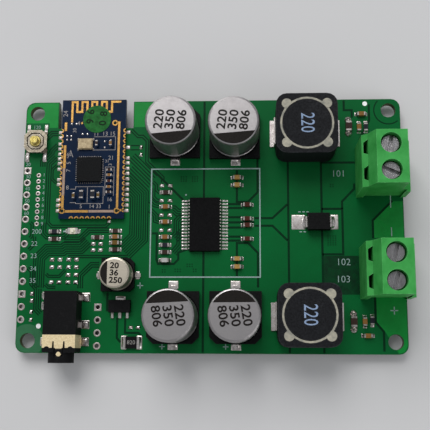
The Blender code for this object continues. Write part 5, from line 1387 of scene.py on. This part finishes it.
class AMP_OT_terminals(bpy.types.Operator):
    """Finish the screw terminal blocks"""

    bl_idname = "amp.terminals"
    bl_label = "Screw terminals"

    def execute(self, context):
        green = Finish("terminal_green", "2E8A3C", "46A552", 4.0, (0.5, 0.36), bump=0.004)
        green = green.rub("74C97E", 0.14).done()
        steel = Finish("screw_steel", "58565A", "A6A4A6", 0.6, (0.42, 0.22), 1.0, stretch=(1, 0.25, 1))
        steel = steel.strokes(0.07, 20, 0.006, "8A8888").rub("D8D6D4", 0.1).done()
        zinc = Finish("cage_zinc", "77777A", "A9A8A8", 0.7, (0.5, 0.34), 1.0, 0.006).done()
        for block in ("speaker", "power"):
            dress(green, f"{block}_terminal_housing")
            for i in (1, 2):
                dress(steel, f"{block}_terminal_screw_{i}")
                dress(zinc, f"{block}_terminal_cage_{i}")
                dress(tin_material(), f"{block}_terminal_contact_{i}")
        return {"FINISHED"}


# Columns: the camera's right, up and back
CAMERA_AXES = Matrix(((0.9988, 0.0035, 0.0485), (0.0051, 0.9844, -0.1757), (-0.0484, 0.1758, 0.9832)))


class AMP_OT_studio(bpy.types.Operator):
    """Set up the floor, the soft light and the camera"""

    bl_idname = "amp.studio"
    bl_label = "Studio"

    def execute(self, context):
        s = context.scene.amp_studio
        scene = context.scene
        scene.view_settings.view_transform = "Standard"
        bpy.ops.mesh.primitive_plane_add(size=s.floor_size)
        floor = context.object
        floor.name = "floor"
        paper = Finish("paper", tint(s.floor, 0.985), s.floor, 60.0, (0.75, 0.65))
        floor.data.materials.append(paper.done())
        world = bpy.data.worlds.new("soft_room")
        world.use_nodes = True
        back = world.node_tree.nodes["Background"]
        back.inputs["Color"].default_value = (0.93, 0.96, 1.0, 1)
        back.inputs["Strength"].default_value = s.sky
        scene.world = world
        self.lamp("key_lamp", (-0.27, 0.9, 1.05), 0.9, s.key_power)
        self.lamp("side_lamp", (0.5, -0.42, 0.4), 0.4, s.fill_power)
        camera_data = bpy.data.cameras.new("camera")
        camera_data.sensor_width = 36
        camera_data.lens = s.lens
        camera_data.clip_start = 0.01
        camera = add_object("camera", camera_data)
        camera.matrix_world = Matrix.Translation(s.camera_at) @ CAMERA_AXES.to_4x4()
        scene.camera = camera
        return {"FINISHED"}

    def lamp(self, name, place, size, power):
        """A square lamp that looks at the board's middle."""
        data = bpy.data.lights.new(name, "AREA")
        data.shape = "SQUARE"
        data.size = size
        data.energy = power
        lamp = add_object(name, data)
        lamp.location = place
        lamp.rotation_euler = Vector(place).to_track_quat("Z", "Y").to_euler()


OPERATORS = (
    AMP_OT_board_surface, AMP_OT_wiring_rings, AMP_OT_solder_pads, AMP_OT_chip_parts, AMP_OT_signs,
    AMP_OT_module, AMP_OT_amplifier_chip, AMP_OT_capacitors, AMP_OT_coils, AMP_OT_small_parts, AMP_OT_button,
    AMP_OT_jack, AMP_OT_terminals, AMP_OT_studio,
)


class AMP_PT_dressing(bpy.types.Panel):
    """Lists the steps that dress the board and their settings"""

    bl_idname = "AMP_PT_dressing"
    bl_label = "Amplifier board"
    bl_space_type = "VIEW_3D"
    bl_region_type = "UI"
    bl_category = "Amplifier"

    def draw(self, context):
        for operator in OPERATORS:
            self.layout.operator(operator.bl_idname)
        for name, group in SETTINGS.items():
            box = self.layout.box()
            for key in group.__annotations__:
                box.prop(getattr(context.scene, name), key)


def register():
    for name, group in SETTINGS.items():
        bpy.utils.register_class(group)
        setattr(bpy.types.Scene, name, PointerProperty(type=group))
    for made in (*OPERATORS, AMP_PT_dressing):
        bpy.utils.register_class(made)


def unregister():
    for made in (AMP_PT_dressing, *reversed(OPERATORS)):
        bpy.utils.unregister_class(made)
    for name, group in reversed(SETTINGS.items()):
        delattr(bpy.types.Scene, name)
        bpy.utils.unregister_class(group)


def corners(box):
    """A box as plain lists."""
    return [[float(x) for x in corner] for corner in box]


def main():
    """Dresses the board step by step."""
    register()
    for operator in OPERATORS:
        group, name = operator.bl_idname.split(".")
        getattr(getattr(bpy.ops, group), name)()


if __name__ == "__main__":
    main()
